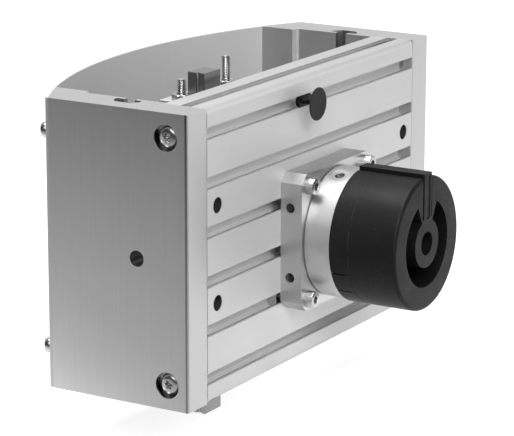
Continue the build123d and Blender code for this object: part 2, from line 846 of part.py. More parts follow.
# Screws of the link plate
with BuildPart() as link_screws:
    with BuildSketch(at_depth(base_depth - running_gap)):
        with Locations(*link_screw_places):
            Circle(link_screw_head / 2)
    extrude(amount=link_thick - running_gap)
    with BuildSketch(at_depth(link_front)):
        with Locations(*link_screw_places):
            Circle(link_screw_shank / 2)
    extrude(amount=link_screw_long - link_thick)
link_screws.part.label = "link_screws"
export_step(link_screws.part, "parts/link_screws.step")


def upright(x, y, z):
    """Plane facing up: local x is X and local y is Y."""
    return Plane(origin=(x, y, z), x_dir=(1, 0, 0), z_dir=(0, 0, 1))


def lengthwise(x, y, z):
    """Plane facing right: local x is Z and local y runs forward."""
    return Plane(origin=(x, y, z), x_dir=(0, 0, 1), z_dir=(1, 0, 0))


def rail_outline(wide, deep, groove, groove_round):
    """Rail section with a ball groove in each side; local y runs from its first face."""
    with Locations((0, deep / 2)):
        Rectangle(wide, deep)
    with Locations((-wide / 2, groove), (wide / 2, groove)):
        Circle(groove_round, mode=Mode.SUBTRACT)


def slider_outline(wide, lip, top, inside, roof):
    """Section of a carriage from its lips to its top, with a channel inside it."""
    with Locations((0, (lip + top) / 2)):
        Rectangle(wide, top - lip)
    with Locations((0, (lip + roof) / 2)):
        Rectangle(inside, roof - lip, mode=Mode.SUBTRACT)


# Short roller at the end of the linkage, on its pin in the vertical rail
with BuildPart() as cam_roller:
    with BuildSketch(at_depth(roller_back)):
        with Locations((rest_x, roller_z)):
            Circle(roller_across / 2)
            Circle(pin_across / 2 + bearing_gap, mode=Mode.SUBTRACT)
    extrude(amount=roller_back - roller_front)
    chamfer(cam_roller.faces().sort_by(Axis.Y)[0].outer_wire().edges(), roller_chamfer)
cam_roller.part.label = "cam_roller"
export_step(cam_roller.part, "parts/cam_roller.step")

pin_steps = [
    (rail_back, rail_deep - pin_seat_deep, small_screw_bore),
    (rail_front + pin_seat_deep, pin_seat_deep, pin_seat),
    (rail_front, pin_collar_high, pin_collar),
    (rail_front - pin_collar_high, rail_front - pin_collar_high - pin_head_front, pin_across),
    (pin_head_front + pin_head_high, pin_head_high, pin_head),
]
with BuildPart() as roller_pin:
    for step_back, step_long, step_across in pin_steps:
        with BuildSketch(at_depth(step_back)):
            with Locations((rest_x, roller_z)):
                Circle(step_across / 2)
        extrude(amount=step_long)
roller_pin.part.label = "roller_pin"
export_step(roller_pin.part, "parts/roller_pin.step")

# Vertical rail with its row of sunk holes and a threaded lower end
with BuildPart() as vertical_rail:
    with BuildSketch(upright(rest_x, rail_front, rail_bottom)):
        rail_outline(rail_wide, rail_deep, rail_groove, rail_groove_round)
    extrude(amount=rail_long)
    chamfer(vertical_rail.faces().sort_by(Axis.Z)[0].edges(), edge_break)
    hole_row = [(rest_x, rail_first_hole + i * rail_hole_pitch) for i in range(rail_hole_count)]
    with BuildSketch(at_depth(rail_back)):
        with Locations(*hole_row):
            Circle(rail_hole_bore / 2)
    extrude(amount=rail_deep, mode=Mode.SUBTRACT)
    with BuildSketch(at_depth(rail_front + rail_sink_deep)):
        with Locations(*hole_row):
            Circle(rail_sink_bore / 2)
    extrude(amount=rail_sink_deep, mode=Mode.SUBTRACT)
    with BuildSketch(upright(rest_x, rail_mid, rail_bottom)):
        Circle(tool_thread_bore / 2)
    extrude(amount=tool_thread_deep, mode=Mode.SUBTRACT)
vertical_rail.part.label = "vertical_rail"
export_step(vertical_rail.part, "parts/vertical_rail.step")

# Holder of the stop studs, a U round the top of the rail
holder_back = rail_back + holder_wall
holder_half = stud_offset + holder_side
stud_places = [(rest_x - stud_offset, rail_mid), (rest_x + stud_offset, rail_mid)]
with BuildPart() as stop_holder:
    with BuildSketch(Plane.XY.offset(holder_top - holder_high)) as holder_plan:
        with Locations((rest_x, (holder_front + holder_back) / 2)):
            Rectangle(2 * holder_half, holder_back - holder_front)
        with Locations((rest_x, (holder_front + rail_back) / 2)):
            Rectangle(2 * (holder_half - holder_ear), rail_back - holder_front, mode=Mode.SUBTRACT)
        with Locations(*stud_places):
            Circle(stud_across / 2, mode=Mode.SUBTRACT)
    extrude(amount=holder_high)
    with BuildSketch(at_depth(holder_back)):
        with Locations((rest_x, holder_screw_z)):
            Circle(small_screw_shank / 2)
    extrude(amount=holder_wall, mode=Mode.SUBTRACT)
stop_holder.part.label = "stop_holder"
export_step(stop_holder.part, "parts/stop_holder.step")

with BuildPart() as holder_screw:
    with BuildSketch(at_depth(rail_front + rail_sink_deep)):
        with Locations((rest_x, holder_screw_z)):
            Circle(small_screw_head / 2)
    extrude(amount=small_screw_head_high)
    with BuildSketch(at_depth(holder_back)):
        with Locations((rest_x, holder_screw_z)):
            Circle(small_screw_shank / 2)
    extrude(amount=holder_back - rail_front - rail_sink_deep)
holder_screw.part.label = "holder_screw"
export_step(holder_screw.part, "parts/holder_screw.step")

# Two stop studs, each a size longer or shorter, with lock nuts
stud_rises = {"stop_stud_left": stud_left_rise, "stop_stud_right": stud_right_rise}
for (name, rise), place in zip(stud_rises.items(), stud_places):
    with BuildPart() as stud:
        with BuildSketch(Plane.XY.offset(stud_foot)):
            with Locations(place):
                Circle(stud_across / 2)
        extrude(amount=holder_top + rise - stud_foot)
        chamfer(stud.faces().sort_by(Axis.Z)[-1].edges(), edge_break)
    stud.part.label = name
    export_step(stud.part, f"parts/{name}.step")

with BuildPart() as stop_nuts:
    with BuildSketch(Plane.XY.offset(holder_top)):
        with Locations(*stud_places):
            RegularPolygon(nut_flats / 2, 6, major_radius=False)
            Circle(stud_across / 2, mode=Mode.SUBTRACT)
    extrude(amount=nut_high)
stop_nuts.part.label = "stop_nuts"
export_step(stop_nuts.part, "parts/stop_nuts.step")

# Carriage that holds the vertical rail, with its end caps
carriage_top = cross_front - rail_front
carriage_low = carriage_centre - carriage_long / 2
with BuildPart() as vertical_carriage:
    with BuildSketch(upright(rest_x, rail_front, carriage_low)):
        slider_outline(
            carriage_wide, carriage_lip, carriage_top, rail_wide + 2 * carriage_gap, rail_deep + carriage_gap
        )
        with Locations((-rail_wide / 2, rail_groove), (rail_wide / 2, rail_groove)):
            Circle(rail_groove_round - running_gap)
    extrude(amount=carriage_long)
    with BuildSketch(at_depth(cross_front)):
        with Locations(*carriage_screw_places):
            Circle(small_screw_shank / 2)
    extrude(amount=carriage_thread, mode=Mode.SUBTRACT)
vertical_carriage.part.label = "vertical_carriage"
export_step(vertical_carriage.part, "parts/vertical_carriage.step")

with BuildPart() as vertical_carriage_caps:
    for cap_low in (carriage_low - carriage_cap, carriage_low + carriage_long):
        with BuildSketch(upright(rest_x, rail_front, cap_low)):
            slider_outline(
                carriage_wide - 2 * cap_inset, carriage_lip, carriage_top - cap_inset,
                rail_wide + 2 * running_gap, rail_deep + running_gap,
            )
        extrude(amount=carriage_cap)
vertical_carriage_caps.part.label = "vertical_carriage_caps"
export_step(vertical_carriage_caps.part, "parts/vertical_carriage_caps.step")

# Cross plate between the vertical carriage and the two guide carriages
with BuildPart() as cross_plate:
    with BuildSketch(at_depth(cross_back)) as cross_face:
        with Locations((rest_x, (cross_top + cross_bottom) / 2)):
            Rectangle(2 * cross_half_wide, cross_top - cross_bottom)
        chamfer(cross_face.vertices(), cross_corner)
        with Locations(*carriage_screw_places, *guide_screw_places):
            Circle(small_screw_bore / 2, mode=Mode.SUBTRACT)
    extrude(amount=cross_thick)
    with BuildSketch(at_depth(cross_back)):
        with Locations(*carriage_screw_places):
            Circle(rail_sink_bore / 2)
    extrude(amount=small_screw_sunk + small_screw_head_high, mode=Mode.SUBTRACT)
    with BuildSketch(at_depth(cross_front)):
        with Locations(*guide_screw_places):
            Circle(rail_sink_bore / 2)
    extrude(amount=-(small_screw_sunk + small_screw_head_high), mode=Mode.SUBTRACT)
cross_plate.part.label = "cross_plate"
export_step(cross_plate.part, "parts/cross_plate.step")

with BuildPart() as cross_screws:
    for head_face, turn, places in (
        (cross_back - small_screw_sunk, 1, carriage_screw_places),
        (cross_front + small_screw_sunk, -1, guide_screw_places),
    ):
        with BuildSketch(at_depth(head_face)):
            with Locations(*places):
                Circle(small_screw_head / 2)
        extrude(amount=turn * small_screw_head_high)
        with BuildSketch(at_depth(head_face)):
            with Locations(*places):
                Circle(small_screw_shank / 2)
        extrude(amount=turn * cross_screw_long)
cross_screws.part.label = "cross_screws"
export_step(cross_screws.part, "parts/cross_screws.step")

# Upper and lower guide carriages on their rails
slider_top = beam_front - cross_back
slider_left = rest_x - guide_carriage_long / 2
for name, z in (("upper_carriage", guide_high), ("lower_carriage", guide_low)):
    own_places = [place for place in guide_screw_places if abs(place[1] - z) < guide_carriage_wide]
    with BuildPart() as slider:
        with BuildSketch(lengthwise(slider_left, beam_front, z)):
            slider_outline(
                guide_carriage_wide, guide_carriage_lip, slider_top,
                guide_wide + 2 * carriage_gap, guide_deep + carriage_gap,
            )
            with Locations((-guide_wide / 2, guide_groove), (guide_wide / 2, guide_groove)):
                Circle(guide_groove_round - running_gap)
        extrude(amount=guide_carriage_long)
        with BuildSketch(at_depth(cross_back + cross_thread)):
            with Locations(*own_places):
                Circle(small_screw_shank / 2)
        extrude(amount=cross_thread, mode=Mode.SUBTRACT)
    slider.part.label = name
    export_step(slider.part, f"parts/{name}.step")

with BuildPart() as guide_carriage_caps:
    for z in guide_heights:
        for cap_left in (slider_left - guide_cap, slider_left + guide_carriage_long):
            with BuildSketch(lengthwise(cap_left, beam_front, z)):
                slider_outline(
                    guide_carriage_wide - 2 * cap_inset, guide_carriage_lip, slider_top - cap_inset,
                    guide_wide + 2 * running_gap, guide_deep + running_gap,
                )
            extrude(amount=guide_cap)
guide_carriage_caps.part.label = "guide_carriage_caps"
export_step(guide_carriage_caps.part, "parts/guide_carriage_caps.step")

# Guide rails on the beam
for name, z in (("upper_guide_rail", guide_high), ("lower_guide_rail", guide_low)):
    with BuildPart() as guide:
        with BuildSketch(lengthwise(-guide_half_long, beam_front, z)):
            rail_outline(guide_wide, guide_deep, guide_groove, guide_groove_round)
        extrude(amount=2 * guide_half_long)
        with BuildSketch(at_depth(beam_front)):
            with Locations(*[(x, z) for x in guide_hole_row]):
                Circle(small_screw_bore / 2)
        extrude(amount=guide_deep, mode=Mode.SUBTRACT)
        with BuildSketch(at_depth(guide_front)):
            with Locations(*[(x, z) for x in guide_hole_row]):
                Circle(rail_sink_bore / 2)
        extrude(amount=-(small_screw_sunk + small_screw_head_high), mode=Mode.SUBTRACT)
    guide.part.label = name
    export_step(guide.part, f"parts/{name}.step")

with BuildPart() as guide_screws:
    with BuildSketch(at_depth(guide_front + small_screw_sunk)):
        with Locations(*guide_bolt_places):
            Circle(small_screw_head / 2)
    extrude(amount=-small_screw_head_high)
    with BuildSketch(at_depth(guide_front + small_screw_sunk)):
        with Locations(*guide_bolt_places):
            Circle(small_screw_shank / 2)
    extrude(amount=-guide_screw_long)
guide_screws.part.label = "guide_screws"
export_step(guide_screws.part, "parts/guide_screws.step")

# Beam that carries the guide rails, seated on the shoulders of the end plates
with BuildPart() as guide_beam:
    with BuildSketch(at_depth(beam_back)):
        with Locations((0, (beam_top + beam_bottom) / 2)):
            Rectangle(2 * inner_half, beam_top - beam_bottom)
        with Locations(*guide_bolt_places, *beam_screw_places):
            Circle(small_screw_shank / 2, mode=Mode.SUBTRACT)
    extrude(amount=beam_back - beam_front)
guide_beam.part.label = "guide_beam"
export_step(guide_beam.part, "parts/guide_beam.step")


def make_bracket(side):
    """Angle bracket between the beam and the slot of one end plate."""
    wall = side * inner_half
    foot = wall - side * angle_thick
    flange_end = foot - side * angle_flange
    with BuildPart() as bracket:
        with BuildSketch(Plane.XY.offset(angle_bottom)) as plan:
            with BuildLine():
                Polyline(
                    (wall, angle_foot_front),
                    (wall, beam_front),
                    (flange_end, beam_front),
                    (flange_end, beam_front - angle_thick),
                    (foot, beam_front - angle_thick),
                    (foot, angle_foot_front),
                    close=True,
                )
            make_face()
            inner_corner = plan.vertices().sort_by_distance((foot, beam_front - angle_thick))[0]
            fillet(inner_corner, angle_round)
        extrude(amount=angle_top - angle_bottom)
        with BuildSketch(at_depth(beam_front)):
            with Locations(*[place for place in beam_screw_places if place[0] * side > 0]):
                Circle(small_screw_bore / 2)
        extrude(amount=angle_thick, mode=Mode.SUBTRACT)
        with BuildSketch(across(wall)):
            with Locations(*[(wall_slot_depth, z) for z in bracket_screw_heights]):
                Circle(slot_screw_shank / 2)
            with Locations((stop_screw_y, stop_screw_z)):
                Circle(stop_screw_across / 2)
        extrude(amount=-side * angle_thick, mode=Mode.SUBTRACT)
    return bracket.part


def make_z_stop(side):
    """Height stop: a foot on the end plate and an arm under one of the stop studs."""
    wall = side * inner_half
    foot = wall - side * angle_thick
    pad = side * (link_travel_half + stud_offset - stop_pad_lead)
    with BuildPart() as stop:
        with BuildSketch(at_depth(stop_foot_back)):
            with Locations(((wall + foot) / 2, (stop_foot_low + stop_top) / 2)):
                Rectangle(angle_thick, stop_top - stop_foot_low)
        extrude(amount=stop_foot_back - stop_front)
        with BuildSketch(at_depth(stop_back)):
            with BuildLine():
                Polyline(
                    (wall, stop_top),
                    (pad, stop_top),
                    (pad, stop_top - stop_plate_high),
                    (foot - side * stop_gusset, stop_top - stop_plate_high),
                    (foot, stop_top - stop_plate_high - stop_gusset),
                    (wall, stop_top - stop_plate_high - stop_gusset),
                    close=True,
                )
            make_face()
        extrude(amount=stop_back - stop_front)
        with BuildSketch(across(wall)):
            with Locations((wall_slot_depth, stop_slot_screw_z)):
                Circle(slot_screw_shank / 2)
        extrude(amount=-side * angle_thick, mode=Mode.SUBTRACT)
    return stop.part


for side, hand in ((-1, "left"), (1, "right")):
    for made, name in ((make_bracket(side), f"beam_bracket_{hand}"), (make_z_stop(side), f"z_stop_{hand}")):
        made.label = name
        export_step(made, f"parts/{name}.step")

with BuildPart() as beam_screws:
    with BuildSketch(at_depth(beam_front - angle_thick)):
        with Locations(*beam_screw_places):
            Circle(small_screw_head / 2)
    extrude(amount=small_screw_head_high)
    with BuildSketch(at_depth(beam_back)):
        with Locations(*beam_screw_places):
            Circle(small_screw_shank / 2)
    extrude(amount=beam_back - beam_front + angle_thick)
beam_screws.part.label = "beam_screws"
export_step(beam_screws.part, "parts/beam_screws.step")

# End stops of the cross travel: a screw with a lock nut and a soft buffer on each bracket
stop_axis = (stop_screw_y, stop_screw_z)
with BuildPart() as x_stop_screws:
    for side in (-1, 1):
        with BuildSketch(across(side * inner_half)):
            with Locations(stop_axis):
                Circle(stop_screw_across / 2)
        extrude(amount=-side * (inner_half - buffer_base))
x_stop_screws.part.label = "x_stop_screws"
export_step(x_stop_screws.part, "parts/x_stop_screws.step")

with BuildPart() as x_stop_nuts:
    for side in (-1, 1):
        with BuildSketch(across(side * foot_face)):
            with Locations(stop_axis):
                RegularPolygon(stop_nut_flats / 2, 6, major_radius=False)
                Circle(stop_screw_across / 2, mode=Mode.SUBTRACT)
        extrude(amount=-side * (foot_face - buffer_base))
x_stop_nuts.part.label = "x_stop_nuts"
export_step(x_stop_nuts.part, "parts/x_stop_nuts.step")

with BuildPart() as x_stop_buffers:
    for side in (-1, 1):
        with BuildSketch(across(side * buffer_base)):
            with Locations(stop_axis):
                Circle(stop_buffer_across / 2)
        extrude(amount=-side * stop_buffer_long)
x_stop_buffers.part.label = "x_stop_buffers"
export_step(x_stop_buffers.part, "parts/x_stop_buffers.step")

# Nuts and screws in the slots of the end plates
wall_nut = nut_outline(wall_slot_lip, wall_slot_wide, wall_slot_straight, wall_slot_floor, wall_slot_full)
slot_screw_heights = (*bracket_screw_heights, stop_slot_screw_z)
with BuildPart() as slot_nuts:
    for side in (-1, 1):
        for z in slot_screw_heights:
            with BuildSketch(Plane.XY.offset(z - slot_nut_long / 2)):
                with Locations((side * inner_half, wall_slot_depth)):
                    Polygon(*wall_nut, rotation=90 + side * 90, align=None)
            extrude(amount=slot_nut_long)
        with BuildSketch(across(side * inner_half)):
            with Locations(*[(wall_slot_depth, z) for z in slot_screw_heights]):
                Circle(slot_screw_shank / 2)
        extrude(amount=side * wall_slot_full, mode=Mode.SUBTRACT)
slot_nuts.part.label = "slot_nuts"
export_step(slot_nuts.part, "parts/slot_nuts.step")

with BuildPart() as slot_screws:
    for side in (-1, 1):
        with BuildSketch(across(side * foot_face)):
            with Locations(*[(wall_slot_depth, z) for z in slot_screw_heights]):
                Circle(slot_screw_head / 2)
        extrude(amount=-side * slot_screw_head_high)
        with BuildSketch(across(side * foot_face)):
            with Locations(*[(wall_slot_depth, z) for z in slot_screw_heights]):
                Circle(slot_screw_shank / 2)
        extrude(amount=side * slot_screw_long)
slot_screws.part.label = "slot_screws"
export_step(slot_screws.part, "parts/slot_screws.step")
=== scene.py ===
"""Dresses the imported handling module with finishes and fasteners, and sets its light, floor and camera."""

import json
import logging
import math
from dataclasses import dataclass, replace
from enum import Enum
from functools import cached_property
from typing import Iterable, Sequence

import bmesh
import bpy
import numpy as np
from mathutils import Matrix, Vector


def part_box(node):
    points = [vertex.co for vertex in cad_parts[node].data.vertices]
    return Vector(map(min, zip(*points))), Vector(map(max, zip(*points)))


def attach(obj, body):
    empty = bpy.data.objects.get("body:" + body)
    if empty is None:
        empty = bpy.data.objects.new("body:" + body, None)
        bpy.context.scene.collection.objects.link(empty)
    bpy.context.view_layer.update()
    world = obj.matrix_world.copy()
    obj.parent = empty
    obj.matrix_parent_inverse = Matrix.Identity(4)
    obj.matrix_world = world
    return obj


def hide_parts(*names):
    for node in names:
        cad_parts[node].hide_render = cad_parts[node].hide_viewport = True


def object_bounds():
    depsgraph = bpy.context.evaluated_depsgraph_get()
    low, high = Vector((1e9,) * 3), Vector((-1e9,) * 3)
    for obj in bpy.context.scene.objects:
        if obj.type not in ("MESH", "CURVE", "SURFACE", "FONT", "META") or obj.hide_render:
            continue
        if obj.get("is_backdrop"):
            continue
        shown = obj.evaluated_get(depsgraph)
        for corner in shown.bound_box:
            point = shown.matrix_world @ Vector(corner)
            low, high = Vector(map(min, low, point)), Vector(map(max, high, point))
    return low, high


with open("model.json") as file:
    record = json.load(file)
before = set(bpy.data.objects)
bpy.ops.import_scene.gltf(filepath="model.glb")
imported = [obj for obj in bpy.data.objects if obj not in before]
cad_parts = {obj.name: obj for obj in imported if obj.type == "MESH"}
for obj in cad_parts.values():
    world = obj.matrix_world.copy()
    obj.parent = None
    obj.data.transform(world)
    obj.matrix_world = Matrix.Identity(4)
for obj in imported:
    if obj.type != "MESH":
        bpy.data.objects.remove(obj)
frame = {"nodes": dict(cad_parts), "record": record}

log = logging.getLogger("handling_module")

MM = 0.001
"""One millimetre in scene units."""

Colour = tuple[float, ...]
Point = tuple[float, float, float]
Seat = tuple[Point, Point]
"""Where a screw's head rests, in millimetres, and the way its head faces."""
Socket = bpy.types.NodeSocket
Value = Socket | float | Sequence[float] | str | None
"""What a node's input takes: a socket to join, a constant, or None to leave it as it is."""


# Places taken from the model


@dataclass(frozen=True)
class NodeBox:
    """A node's lowest and highest corners in millimetres."""

    low: np.ndarray
    high: np.ndarray

    @classmethod
    def of(cls, node: str) -> "NodeBox":
        """Reads the box of a node."""
        return cls(*(np.array(corner, float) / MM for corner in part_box(node)))

    @property
    def middle(self) -> np.ndarray:
        """The centre of the box."""
        return (self.low + self.high) / 2

    @property
    def size(self) -> np.ndarray:
        """The lengths of the box."""
        return self.high - self.low

    def ends(self, way: int, inset: float) -> tuple[float, float]:
        """The two places along one direction that lie the given distance inside the box."""
        return float(self.low[way] + inset), float(self.high[way] - inset)


# Surfaces


LOBE_RISE = 0.17
"""How far a six-lobe recess swings round its circle, as a share of its radius."""
KNURL_DEEP = 0.015
"""Half the depth of a knurl, as a share of the head's radius."""
KNURL_RIBS = 32.0


class Outline(Enum):
    """Cross section of a drive recess, a screw's head or a nut."""

    ROUND = "round"
    HEX = "hex"
    SIX_LOBE = "six lobe"
    KNURLED = "knurled"

    def reach(self, turn: np.ndarray) -> np.ndarray:
        """Distance from the axis at each angle, for a shape that is 1 to its flats.

        The hexagon is 1 over the cosine of the angle from the middle of a flat. The six-lobe
        form is a circle with a cosine wave of six periods. The knurl is a circle that a wave of
        many periods only cuts into.

        Args:
            turn: Angles in radians.

        Returns:
            One distance for each angle.
        """
        if self is Outline.HEX:
            sixth = math.pi / 3
            return 1.0 / np.cos(np.mod(turn, sixth) - sixth / 2)
        if self is Outline.SIX_LOBE:
            return 1.0 + LOBE_RISE * np.cos(6.0 * turn)
        if self is Outline.KNURLED:
            return 1.0 + KNURL_DEEP * (np.cos(KNURL_RIBS * turn) - 1.0)
        return np.ones_like(turn)


@dataclass
class Patch:
    """A piece of surface: points in metres, and the quads between them."""

    points: np.ndarray
    faces: np.ndarray

    @classmethod
    def lofted(cls, points: np.ndarray) -> "Patch":
        """Joins closed rows of points, one after another.

        Args:
            points: The points in millimetres, as rows, columns and coordinates.

        Returns:
            The patch, with a quad between every two neighbours of two rows.
        """
        here = np.arange(points[..., 0].size).reshape(points.shape[:2])
        after = np.roll(here, -1, axis=1)
        quads = np.stack((here[:-1], after[:-1], after[1:], here[1:]), axis=-1)
        return cls(points.reshape(-1, 3) * MM, quads.reshape(-1, 4))

    def placed(self, origin: Point, axis: Point, up: Point = (0.0, 0.0, 1.0)) -> "Patch":
        """Turns the local height onto an axis and moves the patch.

        Args:
            origin: Where the local origin goes, in millimetres.
            axis: Direction that the local height takes.
            up: A direction that the local y leans towards.

        Returns:
            The moved patch.
        """
        z = np.array(axis, float)
        z /= np.linalg.norm(z)
        x = np.cross(np.array(up, float), z)
        if np.linalg.norm(x) < 1e-6:
            x = np.cross(np.array((0.0, 1.0, 0.0)), z)
        x /= np.linalg.norm(x)
        turned_points = self.points @ np.stack((x, np.cross(z, x), z))
        return Patch(turned_points + np.array(origin, float) * MM, self.faces)


def rings(radius: np.ndarray, height: np.ndarray, turn: np.ndarray) -> Patch:
    """Rings about the local height: a point is (r cos a, r sin a, h).

    Args:
        radius: Radius in each row and at each angle, in millimetres.
        height: Height of each row in millimetres, as a column.
        turn: Angles in radians.

    Returns:
        The patch.
    """
    along = np.broadcast_to(height, radius.shape)
    return Patch.lofted(np.stack((radius * np.cos(turn), radius * np.sin(turn), along), axis=-1))


def turned(rows: Sequence[tuple[float, float]], outline: Outline = Outline.ROUND,
           shaped: Iterable[int] = (), columns: int = 48) -> Patch:
    """A profile turned about the local height, with some rows carried round an outline.

    The radius is the row's own times the outline's reach at the angle in a shaped row, and the
    row's own elsewhere.

    Args:
        rows: Radius and height of each row in millimetres, from the axis round to the axis.
        outline: The outline of the shaped rows.
        shaped: Numbers of the rows that take the outline.
        columns: Points in a row.

    Returns:
        The patch.
    """
    radius, height = np.array(rows, float).T
    turn = np.linspace(0.0, 2.0 * math.pi, columns, endpoint=False)
    weight = np.zeros(len(radius))
    weight[list(shaped)] = 1.0
    reach = 1.0 + weight[:, None] * (outline.reach(turn)[None, :] - 1.0)
    return rings(radius[:, None] * reach, height[:, None], turn)


def threaded(radius: float, depth: float, pitch: float, low: float, high: float,
             inside: bool = False, columns: int = 32) -> Patch:
    """A helical thread about the local height.

    The radius falls by the depth along a triangle wave of the height over the pitch less the
    angle over a full turn, so that its crest climbs as a helix. Inside threads face the axis.

    Args:
        radius: Crest radius in millimetres, or root radius of an inside thread.
        depth: Depth of the thread in millimetres.
        pitch: Climb in one turn in millimetres.
        low: Lowest height in millimetres.
        high: Highest height in millimetres.
        inside: True for a thread in a hole.
        columns: Points in a row.

    Returns:
        The patch, open at both ends.
    """
    rows_in_pitch = 6
    height = np.linspace(low, high, max(4, int((high - low) / pitch * rows_in_pitch)))[:, None]
    turn = np.linspace(0.0, 2.0 * math.pi, columns, endpoint=False)[None, :]
    phase = np.mod(height / pitch - turn / (2.0 * math.pi), 1.0)
    patch = rings(radius - depth * (1.0 - np.abs(2.0 * phase - 1.0)), height, turn)
    return Patch(patch.points, patch.faces[:, ::-1]) if inside else patch


def joined(patches: Sequence[Patch]) -> Patch:
    """Several patches as one.

    Args:
        patches: The patches.

    Returns:
        One patch with all their points and quads.
    """
    starts = np.cumsum([0] + [len(p.points) for p in patches[:-1]])
    faces = [p.faces + start for p, start in zip(patches, starts)]
    return Patch(np.concatenate([p.points for p in patches]), np.concatenate(faces))


SHARP_FROM = math.radians(32)
"""Angle above which an edge of a new piece stays sharp."""


def make_piece(name: str, patches: Sequence[Patch], material: bpy.types.Material, body: str,
               replaces: Sequence[str] = (), closed: bool = True) -> None:
    """Makes an object of patches, dresses it and puts it on its body.

    Args:
        name: Name of the piece.
        patches: Its surface.
        material: Its finish.
        body: The body it rides on.
        replaces: Nodes that it stands for.
        closed: True if the surface encloses a solid, so that its faces can be turned outwards.
    """
    whole = joined(patches)
    mesh = bpy.data.meshes.new(name)
    mesh.from_pydata(whole.points.tolist(), [], whole.faces.tolist())
    edit = bmesh.new()
    edit.from_mesh(mesh)
    bmesh.ops.remove_doubles(edit, verts=edit.verts, dist=1e-7)
    if closed:
        bmesh.ops.recalc_face_normals(edit, faces=edit.faces)
    edit.to_mesh(mesh)
    edit.free()
    mesh.shade_smooth()
    mesh.set_sharp_from_angle(angle=SHARP_FROM)
    mesh.materials.append(material)
    piece = bpy.data.objects.new(name, mesh)
    bpy.context.scene.collection.objects.link(piece)
    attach(piece, body)
    if replaces:
        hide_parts(*replaces)
    log.info("%s: %d faces on %s", name, len(mesh.polygons), body)


# Node trees


class Graph:
    """A node tree, with short calls to add nodes and join them."""

    def __init__(self, tree: bpy.types.NodeTree) -> None:
        """Takes a tree and empties it."""
        self.tree = tree
        tree.nodes.clear()

    def put(self, node: bpy.types.Node, key: int | str, value: Value) -> None:
        """Joins a socket to a node's input, or sets a constant there.

        Args:
            node: The node.
            key: Number or name of the input.
            value: The socket or constant, or None for neither.
        """
        if isinstance(value, Socket):
            self.tree.links.new(value, node.inputs[key])
        elif value is not None:
            node.inputs[key].default_value = value

    def add(self, kind: str, *values: Value, inputs: dict[str, Value] | None = None,
            **settings: object) -> bpy.types.Node:
        """Adds a node.

        Args:
            kind: The node's type name.
            *values: What its first inputs take, in their order.
            inputs: What other inputs take, by name.
            **settings: Properties to set on it.

        Returns:
            The node.
        """
        node = self.tree.nodes.new(kind)
        for key, setting in settings.items():
            setattr(node, key, setting)
        for place, value in (*enumerate(values), *(inputs or {}).items()):
            self.put(node, place, value)
        return node

    def math(self, operation: str, *values: Value) -> Socket:
        """The result of an operation on numbers."""
        return self.add("ShaderNodeMath", *values, operation=operation).outputs[0]

    def vector(self, operation: str, *values: Value) -> Socket:
        """The result of an operation on vectors, which is a number for a product or a distance."""
        result = "Value" if operation in ("DOT_PRODUCT", "DISTANCE") else "Vector"
        return self.add("ShaderNodeVectorMath", *values, operation=operation).outputs[result]

    def parts(self, vector: Socket) -> bpy.types.bpy_prop_collection:
        """The X, Y and Z of a vector, by name."""
        return self.add("ShaderNodeSeparateXYZ", vector).outputs

    def product(self, first: Socket, *others: Socket) -> Socket:
        """Patterns multiplied.

        Args:
            first: The first pattern.
            *others: The other patterns.

        Returns:
            The socket with their product.
        """
        for other in others:
            first = self.math("MULTIPLY", first, other)
        return first

    def ranged(self, value: Socket, low: float, high: float, start: float = 0.3, end: float = 0.7,
               **settings: object) -> Socket:
        """Stretches a pattern from one range to another, and holds it between its ends.

        Args:
            value: The pattern.
            low: Value given at start.
            high: Value given at end.
            start: Pattern value that gives low.
            end: Pattern value that gives high.
            **settings: Properties to set on the node.

        Returns:
            The stretched pattern.
        """
        inputs = {"Value": value, "From Min": start, "From Max": end, "To Min": low, "To Max": high}
        return self.add("ShaderNodeMapRange", inputs=inputs, **settings).outputs["Result"]

    def mixed(self, amount: Value, first: Value, second: Value, numbers: bool = False) -> Socket:
        """A pattern, colour or number that gives way to another.

        Args:
            amount: Share of the second.
            first: What gives way.
            second: What takes its place; a plain number makes it a mix of numbers.
            numbers: True where both are patterns of numbers.

        Returns:
            The socket with the result.
        """
        numbers = numbers or isinstance(second, float)
        node = self.add("ShaderNodeMix", amount, data_type="FLOAT" if numbers else "RGBA")
        start, end, result = (2, 3, 0) if numbers else (6, 7, 2)
        self.put(node, start, first)
        self.put(node, end, second)
        return node.outputs[result]


class Grain(Enum):
    """Direction in which a metal was drawn, brushed or ground, as a stretch of the pattern."""

    EVEN = (1.0, 1.0, 1.0)
    ALONG_X = (0.012, 1.0, 1.0)
    ALONG_Z = (1.0, 1.0, 0.012)


